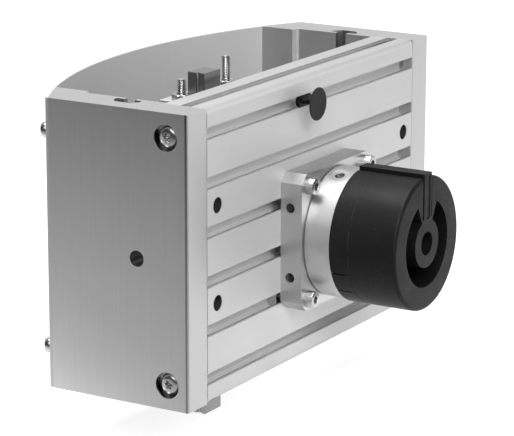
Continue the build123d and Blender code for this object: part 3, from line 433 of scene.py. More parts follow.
class Sheet(Graph):
    """A material's nodes, with patterns on the piece's own coordinates."""

    EDGE_COSINES = (0.80, 0.985)
    # Cosines of the normals' angle between which the wear and painted highlight of an edge fade out.
    """Cosines of the normals' angle between which the wear of an edge fades out."""
    WEAR_AND_HIGHLIGHT_GRAIN = 2.5
    WEAR_AND_HIGHLIGHT_RANGE = (0.35, 1.0)
    WEAR_AND_HIGHLIGHT_NOISE = (0.35, 0.6)
    # Least and most wear and painted highlight along an edge, and the noise between which it grows.
    """Least and most wear along an edge, and the noise between which it grows."""

    def __init__(self, name: str) -> None:
        """Starts a material that has only its shader.

        Args:
            name: Name of the material.
        """
        self.material = bpy.data.materials.new(name)
        self.material.use_nodes = True
        super().__init__(self.material.node_tree)
        self.place = self.add("ShaderNodeTexCoord").outputs["Object"]
        self.shader = self.add("ShaderNodeBsdfPrincipled")
        self.add("ShaderNodeOutputMaterial", self.shader.outputs["BSDF"])

    @cached_property
    def at(self) -> bpy.types.bpy_prop_collection:
        """X, Y and Z of each place on the piece."""
        return self.parts(self.place)

    @cached_property
    def folded(self) -> Socket:
        """The place with every coordinate above zero."""
        return self.vector("ABSOLUTE", self.place)

    @cached_property
    def far(self) -> bpy.types.bpy_prop_collection:
        """Distances from the origin along X, Y and Z."""
        return self.parts(self.folded)

    def noise(self, size: float, stretch: Sequence[float] = (1.0, 1.0, 1.0), detail: float = 3.0,
              roughness: float = 0.5) -> Socket:
        """A noise pattern on the piece's own coordinates.

        Args:
            size: Size of a grain in millimetres.
            stretch: Factors on the three coordinates.
            detail: Octaves of the noise.
            roughness: How strong the finer octaves are.

        Returns:
            The socket with values round a half.
        """
        mapping = self.add("ShaderNodeMapping", self.place, inputs={"Scale": tuple(stretch)}).outputs["Vector"]
        inputs = {"Vector": mapping, "Scale": 1.0 / (size * MM), "Detail": detail, "Roughness": roughness}
        return self.add("ShaderNodeTexNoise", inputs=inputs).outputs["Fac"]

    def ramp(self, value: Socket, start: float, end: float) -> Socket:
        """A share that is none at the first of two places in millimetres and one at the second."""
        return self.ranged(value, 0.0, 1.0, start * MM, end * MM)

    def away(self, keep: Point, axis: Point) -> Socket:
        """Distance from the nearest of four axes that mirror one another.

        Args:
            keep: One for each coordinate that counts, and none for the one along the axis.
            axis: Where the axis lies, in millimetres.

        Returns:
            The socket with the distance.
        """
        flat = self.vector("MULTIPLY", self.folded, keep)
        return self.vector("DISTANCE", flat, tuple(v * MM for v in axis))

    def edge_share(self, radius: float) -> Socket:
        """One along the edges and none on the faces, broken up by a noise.

        The share grows as the normal that a rounded edge would have leaves the face's own.

        Args:
            radius: Reach of an edge in millimetres.

        Returns:
            The socket with the share.
        """
        # The edge share paints wear and a highlight along the edges.
        rounded = self.add("ShaderNodeBevel", radius * MM, samples=4).outputs[0]
        plain = self.add("ShaderNodeNewGeometry").outputs["Normal"]
        edge = self.ranged(self.vector("DOT_PRODUCT", rounded, plain), 1.0, 0.0, *self.EDGE_COSINES)
        return self.product(edge, self.ranged(self.noise(self.WEAR_AND_HIGHLIGHT_GRAIN), *self.WEAR_AND_HIGHLIGHT_RANGE, *self.WEAR_AND_HIGHLIGHT_NOISE))

    def finish(self, tone: Value, rough: Value, metal: Value, height: Socket, depth: float, strength: float) -> None:
        """Sets the shader's inputs.

        Args:
            tone: Colour.
            rough: Roughness.
            metal: Metal share.
            height: Pattern that raises the surface.
            depth: Height of the pattern in millimetres.
            strength: How far it is felt.
        """
        inputs = {"Strength": strength, "Distance": depth * MM, "Height": height}
        normal = self.add("ShaderNodeBump", inputs=inputs).outputs["Normal"]
        for key, value in (("Base Color", tone), ("Roughness", rough), ("Metallic", metal), ("Normal", normal)):
            self.put(self.shader, key, value)


# Finishes


def shaded(tint: float | Colour, factor: float = 1.0) -> Colour:
    """A grey or a colour made lighter or darker by a factor, with its alpha."""
    colour = tint if isinstance(tint, tuple) else (tint,) * 3
    return (*(min(1.0, c * factor) for c in colour), 1.0)


@dataclass(frozen=True)
class Look:
    """Tint, roughness and metal share of an area; None leaves what the piece has."""

    tint: float | Socket | None = None
    roughness: float | None = None
    metallic: float | None = None


Area = tuple[Socket, Look]
"""Where an area lies, as a share, and its look."""


@dataclass(frozen=True)
class BaseAreas:
    """Areas of the base profile: smooth slots with painted light, and painted shade on the top and bottom faces, the
    slots' lips and the holes; sizes in millimetres.
    """

    lip: float = 2.0
    blend: float = 0.2
    crown: tuple[float, float] = (1.5, 0.1)
    # Depths below the top face between which its painted shade comes up.
    """Depths below the top face between which its look comes up."""
    wall: tuple[float, float] = (0.15, 0.05)
    clear: tuple[float, float] = (0.2, 0.6)
    # Distances outside a hole's wall between which its painted shade and the slots' painted light come up.
    """Distances outside a hole's wall between which its look and the slots' come up."""
    mouth: tuple[float, float] = (0.15, 0.45)
    # Depths behind the front face between which the holes' painted shade comes up.
    """Depths behind the front face between which the holes' look comes up."""
    highlight_up: tuple[float, float] = (5.8, 6.9)
    highlight_down: tuple[float, float] = (9.5, 7.5)
    # Heights within the slots' pitch between which the painted highlight band on a slot's floor comes up and goes.
    """Heights within the slots' pitch between which a floor comes up and goes."""
    # Tint of the painted highlight band on the slots' floors.
    floor_tint: float = 1.0

    # The top and bottom faces get a darker tint and full metal: painted shade.
    SHADED_CROWN = Look(0.50, metallic=1.0)
    # The slots' lips are smoother and carry painted shade.
    SHADED_LIPS = Look(0.62, 0.25, 0.95)
    # The slots get a lighter, smoother, less metallic look: painted light.
    SLOT = Look(0.84, 0.30, 0.35)
    # The holes' walls get a darker tint: painted shade.
    SHADED_HOLES = Look(0.50, 0.22, 0.95)

    def on(self, sheet: Sheet) -> list[Area]:
        """Gives the areas.

        The top and bottom faces are a ramp over the height, with painted shade. The lips are the
        product of a ramp over the depth behind the front face and one over the depth below the top
        or bottom face, with painted shade. Behind the lips, both ramps lie deeper and a third clears
        the holes for the slots' painted light; a slot's floor there carries a painted highlight band,
        a ramp up and one down over the height, wrapped at the slots' pitch. The walls of the holes,
        with painted shade, are a ramp over the distance from the nearest hole's axis.

        Args:
            sheet: The material's nodes.

        Returns:
            Each area's share and look, the later ones over the earlier.
        """
        holes = next(m["dims"] for m in frame["record"]["mounts"] if m["name"] == "base_holes")
        top, hole = float(NodeBox.of("base_profile").high[2]), holes["hole_r_mm"]
        deep, high = sheet.far["Y"], sheet.far["Z"]

        def deeper(depth: float) -> Socket:
            """One more than a depth behind the front face and below the top or bottom face."""
            behind = sheet.ramp(deep, depth, depth + self.blend)
            return sheet.product(behind, sheet.ramp(high, top - depth, top - depth - self.blend))

        away = sheet.away((1.0, 0.0, 1.0), (holes["spacing_x_mm"] / 2, 0.0, holes["spacing_y_mm"] / 2))
        near, far = (sheet.ramp(away, *(hole + out for out in outs)) for outs in (self.wall, self.clear))
        # Painted shade on the holes' walls near their mouths.
        bored = sheet.product(near, sheet.ramp(deep, *self.mouth))
        # Painted light inside the slots, kept clear of the holes.
        inside = sheet.product(deeper(self.lip - self.blend / 4), far)
        height = sheet.math("WRAP", sheet.at["Z"], top / 3 * MM, 0.0)
        highlight_band = sheet.product(sheet.ramp(height, *self.highlight_up), sheet.ramp(height, *self.highlight_down))
        # The slots' painted light, with a lighter painted highlight band across each floor.
        floor = sheet.mixed(highlight_band, shaded(self.SLOT.tint), shaded(self.floor_tint))
        return [
            (sheet.ramp(high, *(top - depth for depth in self.crown)), self.SHADED_CROWN),
            (deeper(self.lip / 2), self.SHADED_LIPS),
            (inside, replace(self.SLOT, tint=floor)),
            (bored, self.SHADED_HOLES),
        ]


@dataclass(frozen=True)
class PlateAreas:
    """Areas of the end plates, whose front edge is duller than their sides, with painted shade on the rounded front
    corner and in the screw sinks and a painted highlight on the inner step; sizes in millimetres.
    """

    corner: float = 1.4
    corner_side: tuple[float, float] = (0.4, 0.3)
    corner_front: tuple[float, float] = (0.3, 0.45)
    corner_back: tuple[float, float] = (1.0, 0.9)
    # Shares of the corner's radius between which its painted shade comes up, from three sides.
    """Shares of the corner's radius between which its look comes up, from three sides."""
    sink: float = 5.4
    sink_wall: tuple[float, float] = (0.2, 0.1)
    sink_mouth: tuple[float, float] = (0.2, 0.4)
    shoulder: float = 58.4
    step_front: tuple[float, float] = (-1.5, -1.2)
    step_back: tuple[float, float] = (0.4, 0.2)
    thick: float = 15.8
    thick_blend: tuple[float, float] = (0.1, -0.1)
    front_blend: tuple[float, float] = (0.1, 0.02)

    FRONT = Look(0.60, 0.5, 0.65)
    # The rounded front corner gets a dark tint: painted shade.
    SHADED_CORNER = Look(0.26, 0.2)
    # The walls of the screw sinks get a darker tint: painted shade.
    SHADED_SINK = Look(0.42, 0.12)
    # The inner step is made less metallic so it reads lighter: a painted highlight.
    LIT_STEP = Look(metallic=0.3)

    def on(self, sheet: Sheet) -> list[Area]:
        """Gives the areas.

        The front face is a ramp over the depth. The rounded front corner, with painted shade, is the
        product of ramps over X and Y. The walls of the screw sinks, with painted shade, are a ramp
        over the distance from their axes times one over X. The step inside, made less metallic as a
        painted highlight, is a ramp up and one down over Y, inside the outer part.

        Args:
            sheet: The material's nodes.

        Returns:
            Each area's share and look, the later ones over the earlier.
        """
        plate, screws = NodeBox.of("end_plate_right"), NodeBox.of("end_plate_screws")
        outer, front = float(plate.high[0]), float(plate.low[1])
        x, y, turn = sheet.far["X"], sheet.far["Y"], self.corner

        def over(value: Socket, start: float, ramp: tuple[float, float], scale: float = 1.0) -> Socket:
            """A ramp over distances from a place."""
            return sheet.ramp(value, *(start + distance * scale for distance in ramp))

        axis = (0.0, float(screws.middle[1]), float(screws.high[2] - screws.size[1] / 2))
        away = sheet.away((0.0, 1.0, 1.0), axis)
        # Painted shade on the rounded front corner.
        corner = sheet.product(
            over(x, outer, self.corner_side, -turn),
            over(y, front, self.corner_front, turn),
            over(y, front, self.corner_back, turn),
        )
        # Painted shade on the walls of the screw sinks.
        sunk = sheet.product(over(away, self.sink, self.sink_wall), over(x, outer, self.sink_mouth, -1.0))
        # A painted highlight on the inner step.
        step = sheet.product(
            over(y, self.shoulder, self.step_front),
            over(y, self.shoulder, self.step_back),
            over(x, outer - self.thick, self.thick_blend),
        )
        flat = over(sheet.at["Y"], front, self.front_blend)
        return [(flat, self.FRONT), (corner, self.SHADED_CORNER), (sunk, self.SHADED_SINK), (step, self.LIT_STEP)]


@dataclass(frozen=True)
class EndAreas:
    """The outermost faces of a node along one direction; the blend is in millimetres."""

    node: str
    way: int
    mirrored: bool
    blend: tuple[float, float]
    look: Look

    def on(self, sheet: Sheet) -> list[Area]:
        """Gives the faces, as a ramp along the direction.

        Args:
            sheet: The material's nodes.

        Returns:
            The faces' share and look.
        """
        end = float(NodeBox.of(self.node).high[self.way])
        along = (sheet.far if self.mirrored else sheet.at)[self.way]
        return [(sheet.ramp(along, *(end - inset for inset in self.blend)), self.look)]


SAWN_ENDS = EndAreas("rear_cover", 0, True, (0.1, 0.02), Look(metallic=1.0))
"""The sawn ends of the cover shine like the sides of the end plates."""
CUT_TOP = EndAreas("vertical_rail", 2, False, (0.15, 0.05), Look(0.11))
"""The cut upper end of the vertical rail is dark."""


@dataclass(frozen=True)
class MetalFinish:
    """A metal surface with a grain, a slow mottle and a fine bump."""

    tint: float | Colour
    roughness: float
    metallic: float = 1.0
    grain: Grain = Grain.EVEN
    grain_size: float = 0.5
    streak: float = 0.02
    mottle: float = 0.02
    mottle_size: float = 30.0
    bump: float = 0.05
    areas: BaseAreas | PlateAreas | EndAreas | None = None

    BUMP_HIGH = 0.02
    ROUGH_SWING = 0.1

    def build(self, name: str) -> bpy.types.Material:
        """Makes the node material.

        Args:
            name: Name of the material.

        Returns:
            The material.
        """
        sheet = Sheet(name)
        streaks = sheet.noise(self.grain_size, self.grain.value, detail=4.0, roughness=0.6)
        patches = sheet.noise(self.mottle_size, detail=2.0)
        spread = self.streak + self.mottle
        both = sheet.mixed(self.mottle / spread, sheet.ranged(streaks, 0.0, 1.0), sheet.ranged(patches, 0.0, 1.0),
                           numbers=True)
        tone = sheet.mixed(both, shaded(self.tint, 1 - spread), shaded(self.tint, 1 + spread))
        duller, brighter = (self.roughness * (1 + swing) for swing in (self.ROUGH_SWING, -self.ROUGH_SWING))
        rough: Value = sheet.ranged(both, duller, brighter, 0.0, 1.0)
        metal: Value = self.metallic
        for share, look in self.areas.on(sheet) if self.areas else ():
            if look.tint is not None:
                tone = sheet.mixed(share, tone, shaded(look.tint) if isinstance(look.tint, float) else look.tint)
            if look.roughness is not None:
                rough = sheet.mixed(share, rough, look.roughness)
            if look.metallic is not None:
                metal = sheet.mixed(share, metal, look.metallic)
        sheet.finish(tone, rough, metal, streaks, self.BUMP_HIGH, self.bump)
        return sheet.material


@dataclass(frozen=True)
class PlasticFinish:
    """Moulded plastic or rubber with a fine spark texture and faint rubbing marks."""

    tint: float | Colour
    roughness: float
    spark_size: float = 0.35
    bump: float = 0.25
    rub: float = 0.15
    specular: float = 0.5
    dust: float = 0.0
    """Lightness of the fine specks that lie on the surface."""
    edge: float = 0.0
    # Lightness of the edges: rubbed wear together with a painted highlight.
    """Lightness of the rubbed edges."""

    EDGE_REACH = 0.35
    BUMP_HIGH = 0.03
    ROUGH_SWING = 0.12
    RUB_SIZE = 9.0
    RUB_STRETCH = (1.0, 0.35, 1.0)
    SPECK_SIZE = 0.42
    SPECK_NOISE = (0.66, 0.74)
    DRIFT_SIZE = 14.0
    DRIFT_NOISE = (0.42, 0.6)
    """Noise between which the specks grow, and that between which they gather."""

    def build(self, name: str) -> bpy.types.Material:
        """Makes the node material.

        Args:
            name: Name of the material.

        Returns:
            The material.
        """
        sheet = Sheet(name)
        spark = sheet.noise(self.spark_size, detail=2.0)
        rubs = sheet.noise(self.RUB_SIZE, self.RUB_STRETCH, detail=5.0, roughness=0.65)
        tone = sheet.mixed(sheet.ranged(rubs, 0.0, 1.0), shaded(self.tint, 1 - self.rub),
                           shaded(self.tint, 1 + self.rub))
        if self.dust:
            fine = sheet.ranged(sheet.noise(self.SPECK_SIZE, detail=1.0), 0.0, 1.0, *self.SPECK_NOISE)
            drifts = sheet.ranged(sheet.noise(self.DRIFT_SIZE, detail=2.0), 0.0, 1.0, *self.DRIFT_NOISE)
            tone = sheet.mixed(sheet.product(fine, drifts), tone, shaded(self.dust))
        # Lighter edges: rubbed wear and a painted highlight.
        if self.edge:
            tone = sheet.mixed(sheet.edge_share(self.EDGE_REACH), tone, shaded(self.edge))
        rough = sheet.ranged(rubs, *(self.roughness * (1 + swing) for swing in (self.ROUGH_SWING, -self.ROUGH_SWING)))
        sheet.shader.inputs["Specular IOR Level"].default_value = self.specular
        sheet.finish(tone, rough, None, spark, self.BUMP_HIGH, self.bump)
        return sheet.material


FINISHES: dict[str, MetalFinish | PlasticFinish] = {
    "profile_aluminium": MetalFinish(0.66, 0.56, 0.5, Grain.ALONG_X, streak=0.012, areas=BaseAreas()),
    "plate_aluminium": MetalFinish(0.53, 0.31, grain=Grain.ALONG_Z, streak=0.03, grain_size=0.7, areas=PlateAreas()),
    "cover_aluminium": MetalFinish(0.53, 0.45, 0.15, Grain.ALONG_Z, streak=0.015, areas=SAWN_ENDS),
    "drive_aluminium": MetalFinish(0.54, 0.42, grain_size=0.35),
    "flange_aluminium": MetalFinish(0.52, 0.34, grain_size=0.35),
    # The ports' aluminium is smoother and darker than the drive's; its darker tint is painted shade inside the air
    # ports.
    "bore_aluminium": MetalFinish(0.42, 0.15, grain_size=0.35),
    "inner_aluminium": MetalFinish(0.60, 0.38, 0.8, Grain.ALONG_X),
    "rail_steel": MetalFinish(0.30, 0.22, grain=Grain.ALONG_Z, areas=CUT_TOP),
    "guide_steel": MetalFinish(0.46, 0.28, grain=Grain.ALONG_X),
    "carriage_steel": MetalFinish(0.44, 0.34, grain=Grain.ALONG_X),
    "ground_steel": MetalFinish(0.38, 0.22, grain_size=0.3),
    "bright_screws": MetalFinish((0.46, 0.46, 0.455), 0.24, grain_size=0.3),
    "black_plastic": PlasticFinish(0.0075, 0.46, specular=0.13, dust=0.05, edge=0.045),
    "pointer_plastic": PlasticFinish(0.006, 0.42, specular=0.12, edge=0.04),
    "cap_plastic": PlasticFinish((0.05, 0.05, 0.052), 0.48),
    "vane_plastic": PlasticFinish((0.18, 0.18, 0.19), 0.5),
    "bush_bronze": MetalFinish((0.50, 0.34, 0.17), 0.45, grain_size=0.25, bump=0.3),
    "buffer_rubber": PlasticFinish(0.02, 0.7, rub=0.3),
}

NODE_FINISH_CHANGES = {
    "upper_guide_rail": "guide_steel", "lower_guide_rail": "guide_steel", "drive_body": "flange_aluminium",
}
"""Nodes whose finish runs another way than the finish of their slot, or is smoother."""


class Palette:
    """Builds each finish once and hands it out."""

    def __init__(self) -> None:
        """Starts with no material built."""
        self.made: dict[str, bpy.types.Material] = {}

    def of(self, name: str) -> bpy.types.Material:
        """Gives the material of a finish.

        Args:
            name: Name of the finish.

        Returns:
            The material.
        """
        if name not in self.made:
            self.made[name] = FINISHES[name].build(name)
        return self.made[name]


# Nodes that the model brings


class EdgeWork:
    """Modifiers that weld a node's triangles, shade its curves and break its edges."""

    WELD = 2e-6
    NEAR = 0.02
    """How close to a face, in millimetres, an edge's middle has to lie to be on it."""
    SEGMENTS = (2, 4)
    """Segments of a broken edge and of a rounded corner."""

    def __init__(self, limit: float = 30.0) -> None:
        """Keeps the angle above which an edge stays sharp.

        Args:
            limit: The angle in degrees.
        """
        self.limit = math.radians(limit)
        self.plain = self.weld_group("weld_and_shade")

    def weld_group(self, name: str, node: str = "", share: float = 1.0) -> bpy.types.NodeTree:
        """Node group that merges points and marks the edges above the limit as sharp.

        For an end plate it also weighs the edges, so that the front outer corner is rounded
        more: an edge weighs 1 where its middle lies on the outer side and on the front, and
        the given share where it is sharp elsewhere.

        Args:
            name: The group's name.
            node: The end plate's name, or none for another node.
            share: Weight of the other sharp edges.

        Returns:
            The group.
        """
        tree = bpy.data.node_groups.new(name, "GeometryNodeTree")
        for way in ("INPUT", "OUTPUT"):
            tree.interface.new_socket("Geometry", in_out=way, socket_type="NodeSocketGeometry")
        group = Graph(tree)
        start = group.add("NodeGroupInput").outputs[0]
        merge = group.add("GeometryNodeMergeByDistance", start, inputs={"Distance": self.WELD})
        faces = group.add("GeometryNodeSetShadeSmooth", merge.outputs[0], domain="FACE")
        angle = group.add("GeometryNodeInputMeshEdgeAngle").outputs["Unsigned Angle"]
        sharp = group.add("FunctionNodeCompare", angle, self.limit, operation="GREATER_THAN").outputs[0]
        inputs = {"Selection": sharp, "Shade Smooth": False}
        shape = group.add("GeometryNodeSetShadeSmooth", faces.outputs[0], inputs=inputs, domain="EDGE").outputs[0]
        if node:
            box, at = NodeBox.of(node), group.parts(group.add("GeometryNodeInputPosition").outputs[0])
            side = (max(abs(box.low[0]), abs(box.high[0])) - self.NEAR) * MM
            front = (box.low[1] + self.NEAR) * MM
            outward = group.math("ABSOLUTE", at["X"])
            outer = group.add("FunctionNodeCompare", outward, side, operation="GREATER_THAN").outputs[0]
            ahead = group.add("FunctionNodeCompare", at["Y"], front, operation="LESS_THAN").outputs[0]
            weight = group.ranged(group.product(outer, ahead), share, 1.0, 0.0, 1.0)
            inputs = {"Name": "bevel_weight_edge", "Value": group.product(weight, sharp)}
            shape = group.add("GeometryNodeStoreNamedAttribute", shape, inputs=inputs, data_type="FLOAT",
                              domain="EDGE").outputs[0]
        group.add("NodeGroupOutput", shape)
        return tree

    def apply(self, node: bpy.types.Object, width: float, corner: float) -> None:
        """Adds the modifiers to a node.

        Args:
            node: The node's object.
            width: Width of the broken edges in millimetres, or 0 for none.
            corner: Width of its rounded front outer corner, or 0 for none.
        """
        weld = self.weld_group(f"weld_and_round_{node.name}", node.name, width / corner) if corner else self.plain
        node.modifiers.new("weld_and_shade", "NODES").node_group = weld
        if width > 0:
            bevel = node.modifiers.new("broken_edges", "BEVEL")
            bevel.limit_method = "WEIGHT" if corner else "ANGLE"
            bevel.angle_limit = self.limit
            bevel.width = (corner or width) * MM
            bevel.segments = self.SEGMENTS[bool(corner)]
            bevel.use_clamp_overlap = True
            bevel.harden_normals = True


@dataclass
class NodeDresser:
    """Gives every node of the model its finish and its broken edges."""

    palette: Palette
    edges: EdgeWork

    BROKEN = {
        "base_profile": 0.25, "end_plate_left": 0.25, "end_plate_right": 0.25, "rear_cover": 0.15,
        "drive_body": 0.25, "drive_cylinder": 0.2, "hub": 0.3, "vertical_rail": 0.3,
        "stop_holder": 0.3, "cross_plate": 0.3, "link_plate": 0.2, "guide_beam": 0.3,
        "vertical_carriage": 0.2, "upper_carriage": 0.2, "lower_carriage": 0.2, "swivel_arm": 0.2,
        "beam_bracket_left": 0.2, "beam_bracket_right": 0.2, "z_stop_left": 0.2, "z_stop_right": 0.2,
        "x_stop_nuts": 0.15, "vertical_carriage_caps": 0.2, "guide_carriage_caps": 0.2,
    }
    CORNERS = {"end_plate_left": 1.4, "end_plate_right": 1.4}

    def dress(self, nodes: dict[str, bpy.types.Object], slots: dict[str, str]) -> None:
        """Puts the finishes on.

        Args:
            nodes: The model's objects by name.
            slots: The record's material slot of each node.
        """
        for name, node in sorted(nodes.items()):
            finish = NODE_FINISH_CHANGES.get(name, slots[name])
            node.data.materials.clear()
            node.data.materials.append(self.palette.of(finish))
            self.edges.apply(node, self.BROKEN.get(name, 0.0), self.CORNERS.get(name, 0.0))
            log.info("%s: %s", name, finish)


# Fasteners


@dataclass(frozen=True)
class Screw:
    """Sizes that every screw has, in millimetres, with its seat at height 0."""

    head: float
    high: float
    shank: float
    long: float

    @property
    def shaft(self) -> list[tuple[float, float]]:
        """Rows from the tip to the seat."""
        return [(0.0, -self.long), (self.shank, -self.long), (self.shank, 0.0)]

    def form(self) -> Patch:
        """The whole screw."""
        raise NotImplementedError


@dataclass(frozen=True)
class SocketScrew(Screw):
    """A socket screw with a hexagon recess and a broken rim."""

    key: float

    RIM_MOST = 0.5
    RIM_SHARE = 0.12
    RIM_BEND = (0.35, 0.3)
    """Where the rim bends, inwards and down, as shares of its width."""
    MOUTH_WIDE = 1.08
    MOUTH_DEEP = 0.12
    SOCKET = ((1.0, 0.42), (0.5, 0.3), (0.0, 0.26))
    """Radius of the recess's deep rows as shares of the key's, and their height as shares of the head's."""

    def form(self) -> Patch:
        """A turned shaft and a knurled head, with a hexagon recess that narrows to a point.

        Returns:
            The screw.
        """
        rim, high, key = min(self.RIM_MOST, self.head * self.RIM_SHARE), self.high, self.key
        inwards, down = (rim * share for share in self.RIM_BEND)
        rows = self.shaft + [(self.head, 0.0), (self.head, high - rim), (self.head - inwards, high - down),
                             (self.head - rim, high)]
        socket = [(key * self.MOUTH_WIDE, high), (key, high - self.MOUTH_DEEP)]
        socket += [(key * wide, high * up) for wide, up in self.SOCKET]
        knurled = len(self.shaft)
        inner = turned(rows[-1:] + socket, Outline.HEX, range(1, 4), columns=192)
        return joined([turned(rows, Outline.KNURLED, range(knurled, knurled + 2), columns=192), inner])


@dataclass(frozen=True)
class PanScrew(Screw):
    """A domed screw with a six-lobe recess."""

    FOOT_CUT = 0.25
    DOME = ((1.0, 0.45), (0.97, 0.62), (0.86, 0.82), (0.68, 0.95), (0.50, 1.0))
    """Radius and height of the dome's rows, as shares of the head's."""
    RECESS = ((1.75, 0.0), (1.62, 0.12), (1.55, 1.9), (0.8, 2.3), (0.0, 2.45))
    """Radius and depth of the recess's rows in millimetres."""

    def form(self) -> Patch:
        """A plain shank and a domed head with a lobed recess.

        Returns:
            The screw.
        """
        foot = [(self.head - self.FOOT_CUT, 0.0), (self.head, self.FOOT_CUT)]
        rows = self.shaft + foot + [(self.head * wide, self.high * up) for wide, up in self.DOME]
        recess = [(radius, self.high - depth) for radius, depth in self.RECESS]
        return turned(rows + recess, Outline.SIX_LOBE, range(len(rows), len(rows) + 3), columns=72)


@dataclass(frozen=True)
class DomeScrew(Screw):
    """A low domed screw with a hexagon recess."""

    key: float

    DOME_LEAN = 1.15
    DOME_START = 0.5
    DOME_FLAT = 0.55
    DOME_ROWS = 6
    MOUTH_WIDE = 1.05
    MOUTH_DEEP = 0.1
    SOCKET = ((1.0, 0.5), (0.0, 0.42))
    """Radius of the recess's deep rows as shares of the key's, and their height as shares of the head's."""

    def form(self) -> Patch:
        """A plain shank and a low dome with a hexagon recess.

        The dome's radius falls with the cosine of a lean that grows row by row, and its height
        grows with the sine of it.

        Returns:
            The screw.
        """
        lean = np.linspace(0.0, self.DOME_LEAN, self.DOME_ROWS)
        rise = (self.high - self.DOME_START) / math.sin(self.DOME_LEAN)
        flat = self.DOME_FLAT
        dome = [(self.head * (flat + (1 - flat) * math.cos(a)), self.DOME_START + rise * math.sin(a)) for a in lean]
        rows = self.shaft + [(self.head, 0.0)] + dome
        socket = [(self.key * self.MOUTH_WIDE, self.high), (self.key, self.high - self.MOUTH_DEEP)]
        socket += [(self.key * wide, self.high * up) for wide, up in self.SOCKET]
        return turned(rows + socket, Outline.HEX, range(len(rows), len(rows) + 3), columns=48)


@dataclass
class Fasteners:
    """Every group of screws, each placed from the box of the node that it stands for."""

    palette: Palette

    SMALL = SocketScrew(head=2.75, high=3.0, shank=1.5, long=5.0, key=1.25)
    GUIDE = replace(SMALL, long=7.0)
    FLANGE = SocketScrew(head=3.5, high=4.0, shank=2.0, long=16.0, key=1.5)
    LINK = SocketScrew(head=3.7, high=2.7, shank=2.0, long=5.0, key=1.25)
    SLOT = SocketScrew(head=3.5, high=2.4, shank=2.0, long=10.0, key=1.25)
    ARM = SocketScrew(head=7.5, high=1.1, shank=2.0, long=5.0, key=2.0)
    PAN = PanScrew(head=4.5, high=3.2, shank=2.0, long=26.0)
    DOME = DomeScrew(head=3.3, high=3.0, shank=1.65, long=9.0, key=1.0)
    CARRIAGE_REACH = 10.0
    """Half the spacing along X of the screws in the vertical carriage."""
    COVER_INSET = 8.0
    COVER_SIDE_DEPTH = 66.5

    def build(self) -> None:
        """Makes all the groups."""
        self.sideways("end_plate_screws", self.PAN, self.PAN.high, outward=True)
        self.lengthways("drive_screws", self.FLANGE)
        self.cover()
        self.lengthways("link_screws", self.LINK, back=True)
        self.cross()
        self.lengthways("guide_screws", self.GUIDE, columns=4)
        self.lengthways("beam_screws", self.through(self.SMALL, "beam_screws"))
        bracket, low = NodeBox.of("beam_bracket_left"), NodeBox.of("slot_screws").low[2] + self.SLOT.head
        inner = bracket.high[2] - (low - bracket.low[2])
        self.sideways("slot_screws", self.SLOT, self.SLOT.long, outward=False, between=[inner])
        self.single("holder_screw", self.through(self.SMALL, "holder_screw"), "z_slide")
        self.single("arm_screw", self.through(self.ARM, "arm_screw"), "rotor", back=True)

    def group(self, node: str, screw: Screw, seats: Sequence[Seat], body: str = "frame") -> None:
        """Makes all the screws of one node as one piece that stands for it.

        Args:
            node: The node.
            screw: The kind of screw.
            seats: Its seats.
            body: The body that it rides on.
        """
        patches = [screw.form().placed(place, way) for place, way in seats]
        make_piece(f"{node}_cut", patches, self.palette.of("bright_screws"), body, [node])

    def lengthways(self, node: str, screw: Screw, columns: int = 2, back: bool = False) -> None:
        """Screws along Y in two rows that end at the box of their node.

        Args:
            node: The node.
            screw: The kind of screw.
            columns: How many stand side by side.
            back: True where the heads face back.
        """
        box, way = NodeBox.of(node), 1 if back else -1
        across, y = np.linspace(*box.ends(0, screw.head), columns), box.low[1] + (screw.long if back else screw.high)
        self.group(node, screw, [((x, y, z), (0, way, 0)) for x in across for z in box.ends(2, screw.head)])

    def sideways(self, node: str, screw: Screw, inset: float, outward: bool, between: Sequence[float] = ()) -> None:
        """Screws along X at both ends of their node's box.

        Args:
            node: The node.
            screw: The kind of screw.
            inset: How far their seats lie inside the box.
            outward: True where the heads face away from the middle.
            between: Heights of more screws between the lowest and the highest.
        """
        box, way = NodeBox.of(node), 1 if outward else -1
        heights = (*box.ends(2, screw.head), *between)
        self.group(node, screw, [
            ((x, box.middle[1], z), (way * side, 0, 0)) for side, x in zip((-1, 1), box.ends(0, inset)) for z in heights
        ])

    def single(self, node: str, screw: Screw, body: str, back: bool = False) -> None:
        """One screw along Y in the middle of its node's box.

        Args:
            node: The node.
            screw: The screw.
            body: The body that it rides on.
            back: True where its head faces back.
        """
        box, way = NodeBox.of(node), 1 if back else -1
        y = box.high[1] - screw.high if back else box.low[1] + screw.high
        self.group(node, screw, [((box.middle[0], y, box.middle[2]), (0, way, 0))], body)

    def through(self, screw: Screw, node: str) -> Screw:
        """The screw with a shank as long as the depth of a node leaves."""
        return replace(screw, long=NodeBox.of(node).size[1] - screw.high)

    def cover(self) -> None:
        """Domed screws of the rear cover, square to its arc."""
        half, peak = NodeBox.of("rear_cover").high[:2]
        bulge = peak - self.COVER_SIDE_DEPTH
        radius = (half**2 + bulge**2) / (2 * bulge)
        seats = []
        for side in (-1, 1):
            x = side * (half - self.COVER_INSET)
            lean = x / radius
            rise = math.sqrt(1 - lean**2)
            heights = NodeBox.of("cover_screws").ends(2, self.DOME.head)
            seats += [((x, peak - radius + radius * rise, z), (lean, rise, 0)) for z in heights]
        self.group("cover_screws", self.DOME, seats)

    def cross(self) -> None:
        """Socket screws of the cross plate: four from behind and eight from the front."""
        box, screw = NodeBox.of("cross_screws"), self.SMALL
        lower, upper = (NodeBox.of(f"{name}_carriage").middle[2] for name in ("lower", "upper"))
        carriage = NodeBox.of("vertical_carriage").middle
        reach, wide = box.high[2] - screw.head - upper, self.CARRIAGE_REACH
        behind = [
            ((carriage[0] + a * wide, box.low[1] + screw.long, carriage[2] + b * reach), (0, 1, 0))
            for a in (-1, 1) for b in (-1, 1)
        ]
        ahead = [
            ((x, box.high[1] - screw.long, z + b * reach), (0, -1, 0))
            for x in box.ends(0, screw.head) for z in (lower, upper) for b in (-1, 1)
        ]
        self.group("cross_screws", screw, behind + ahead, "cross_slide")


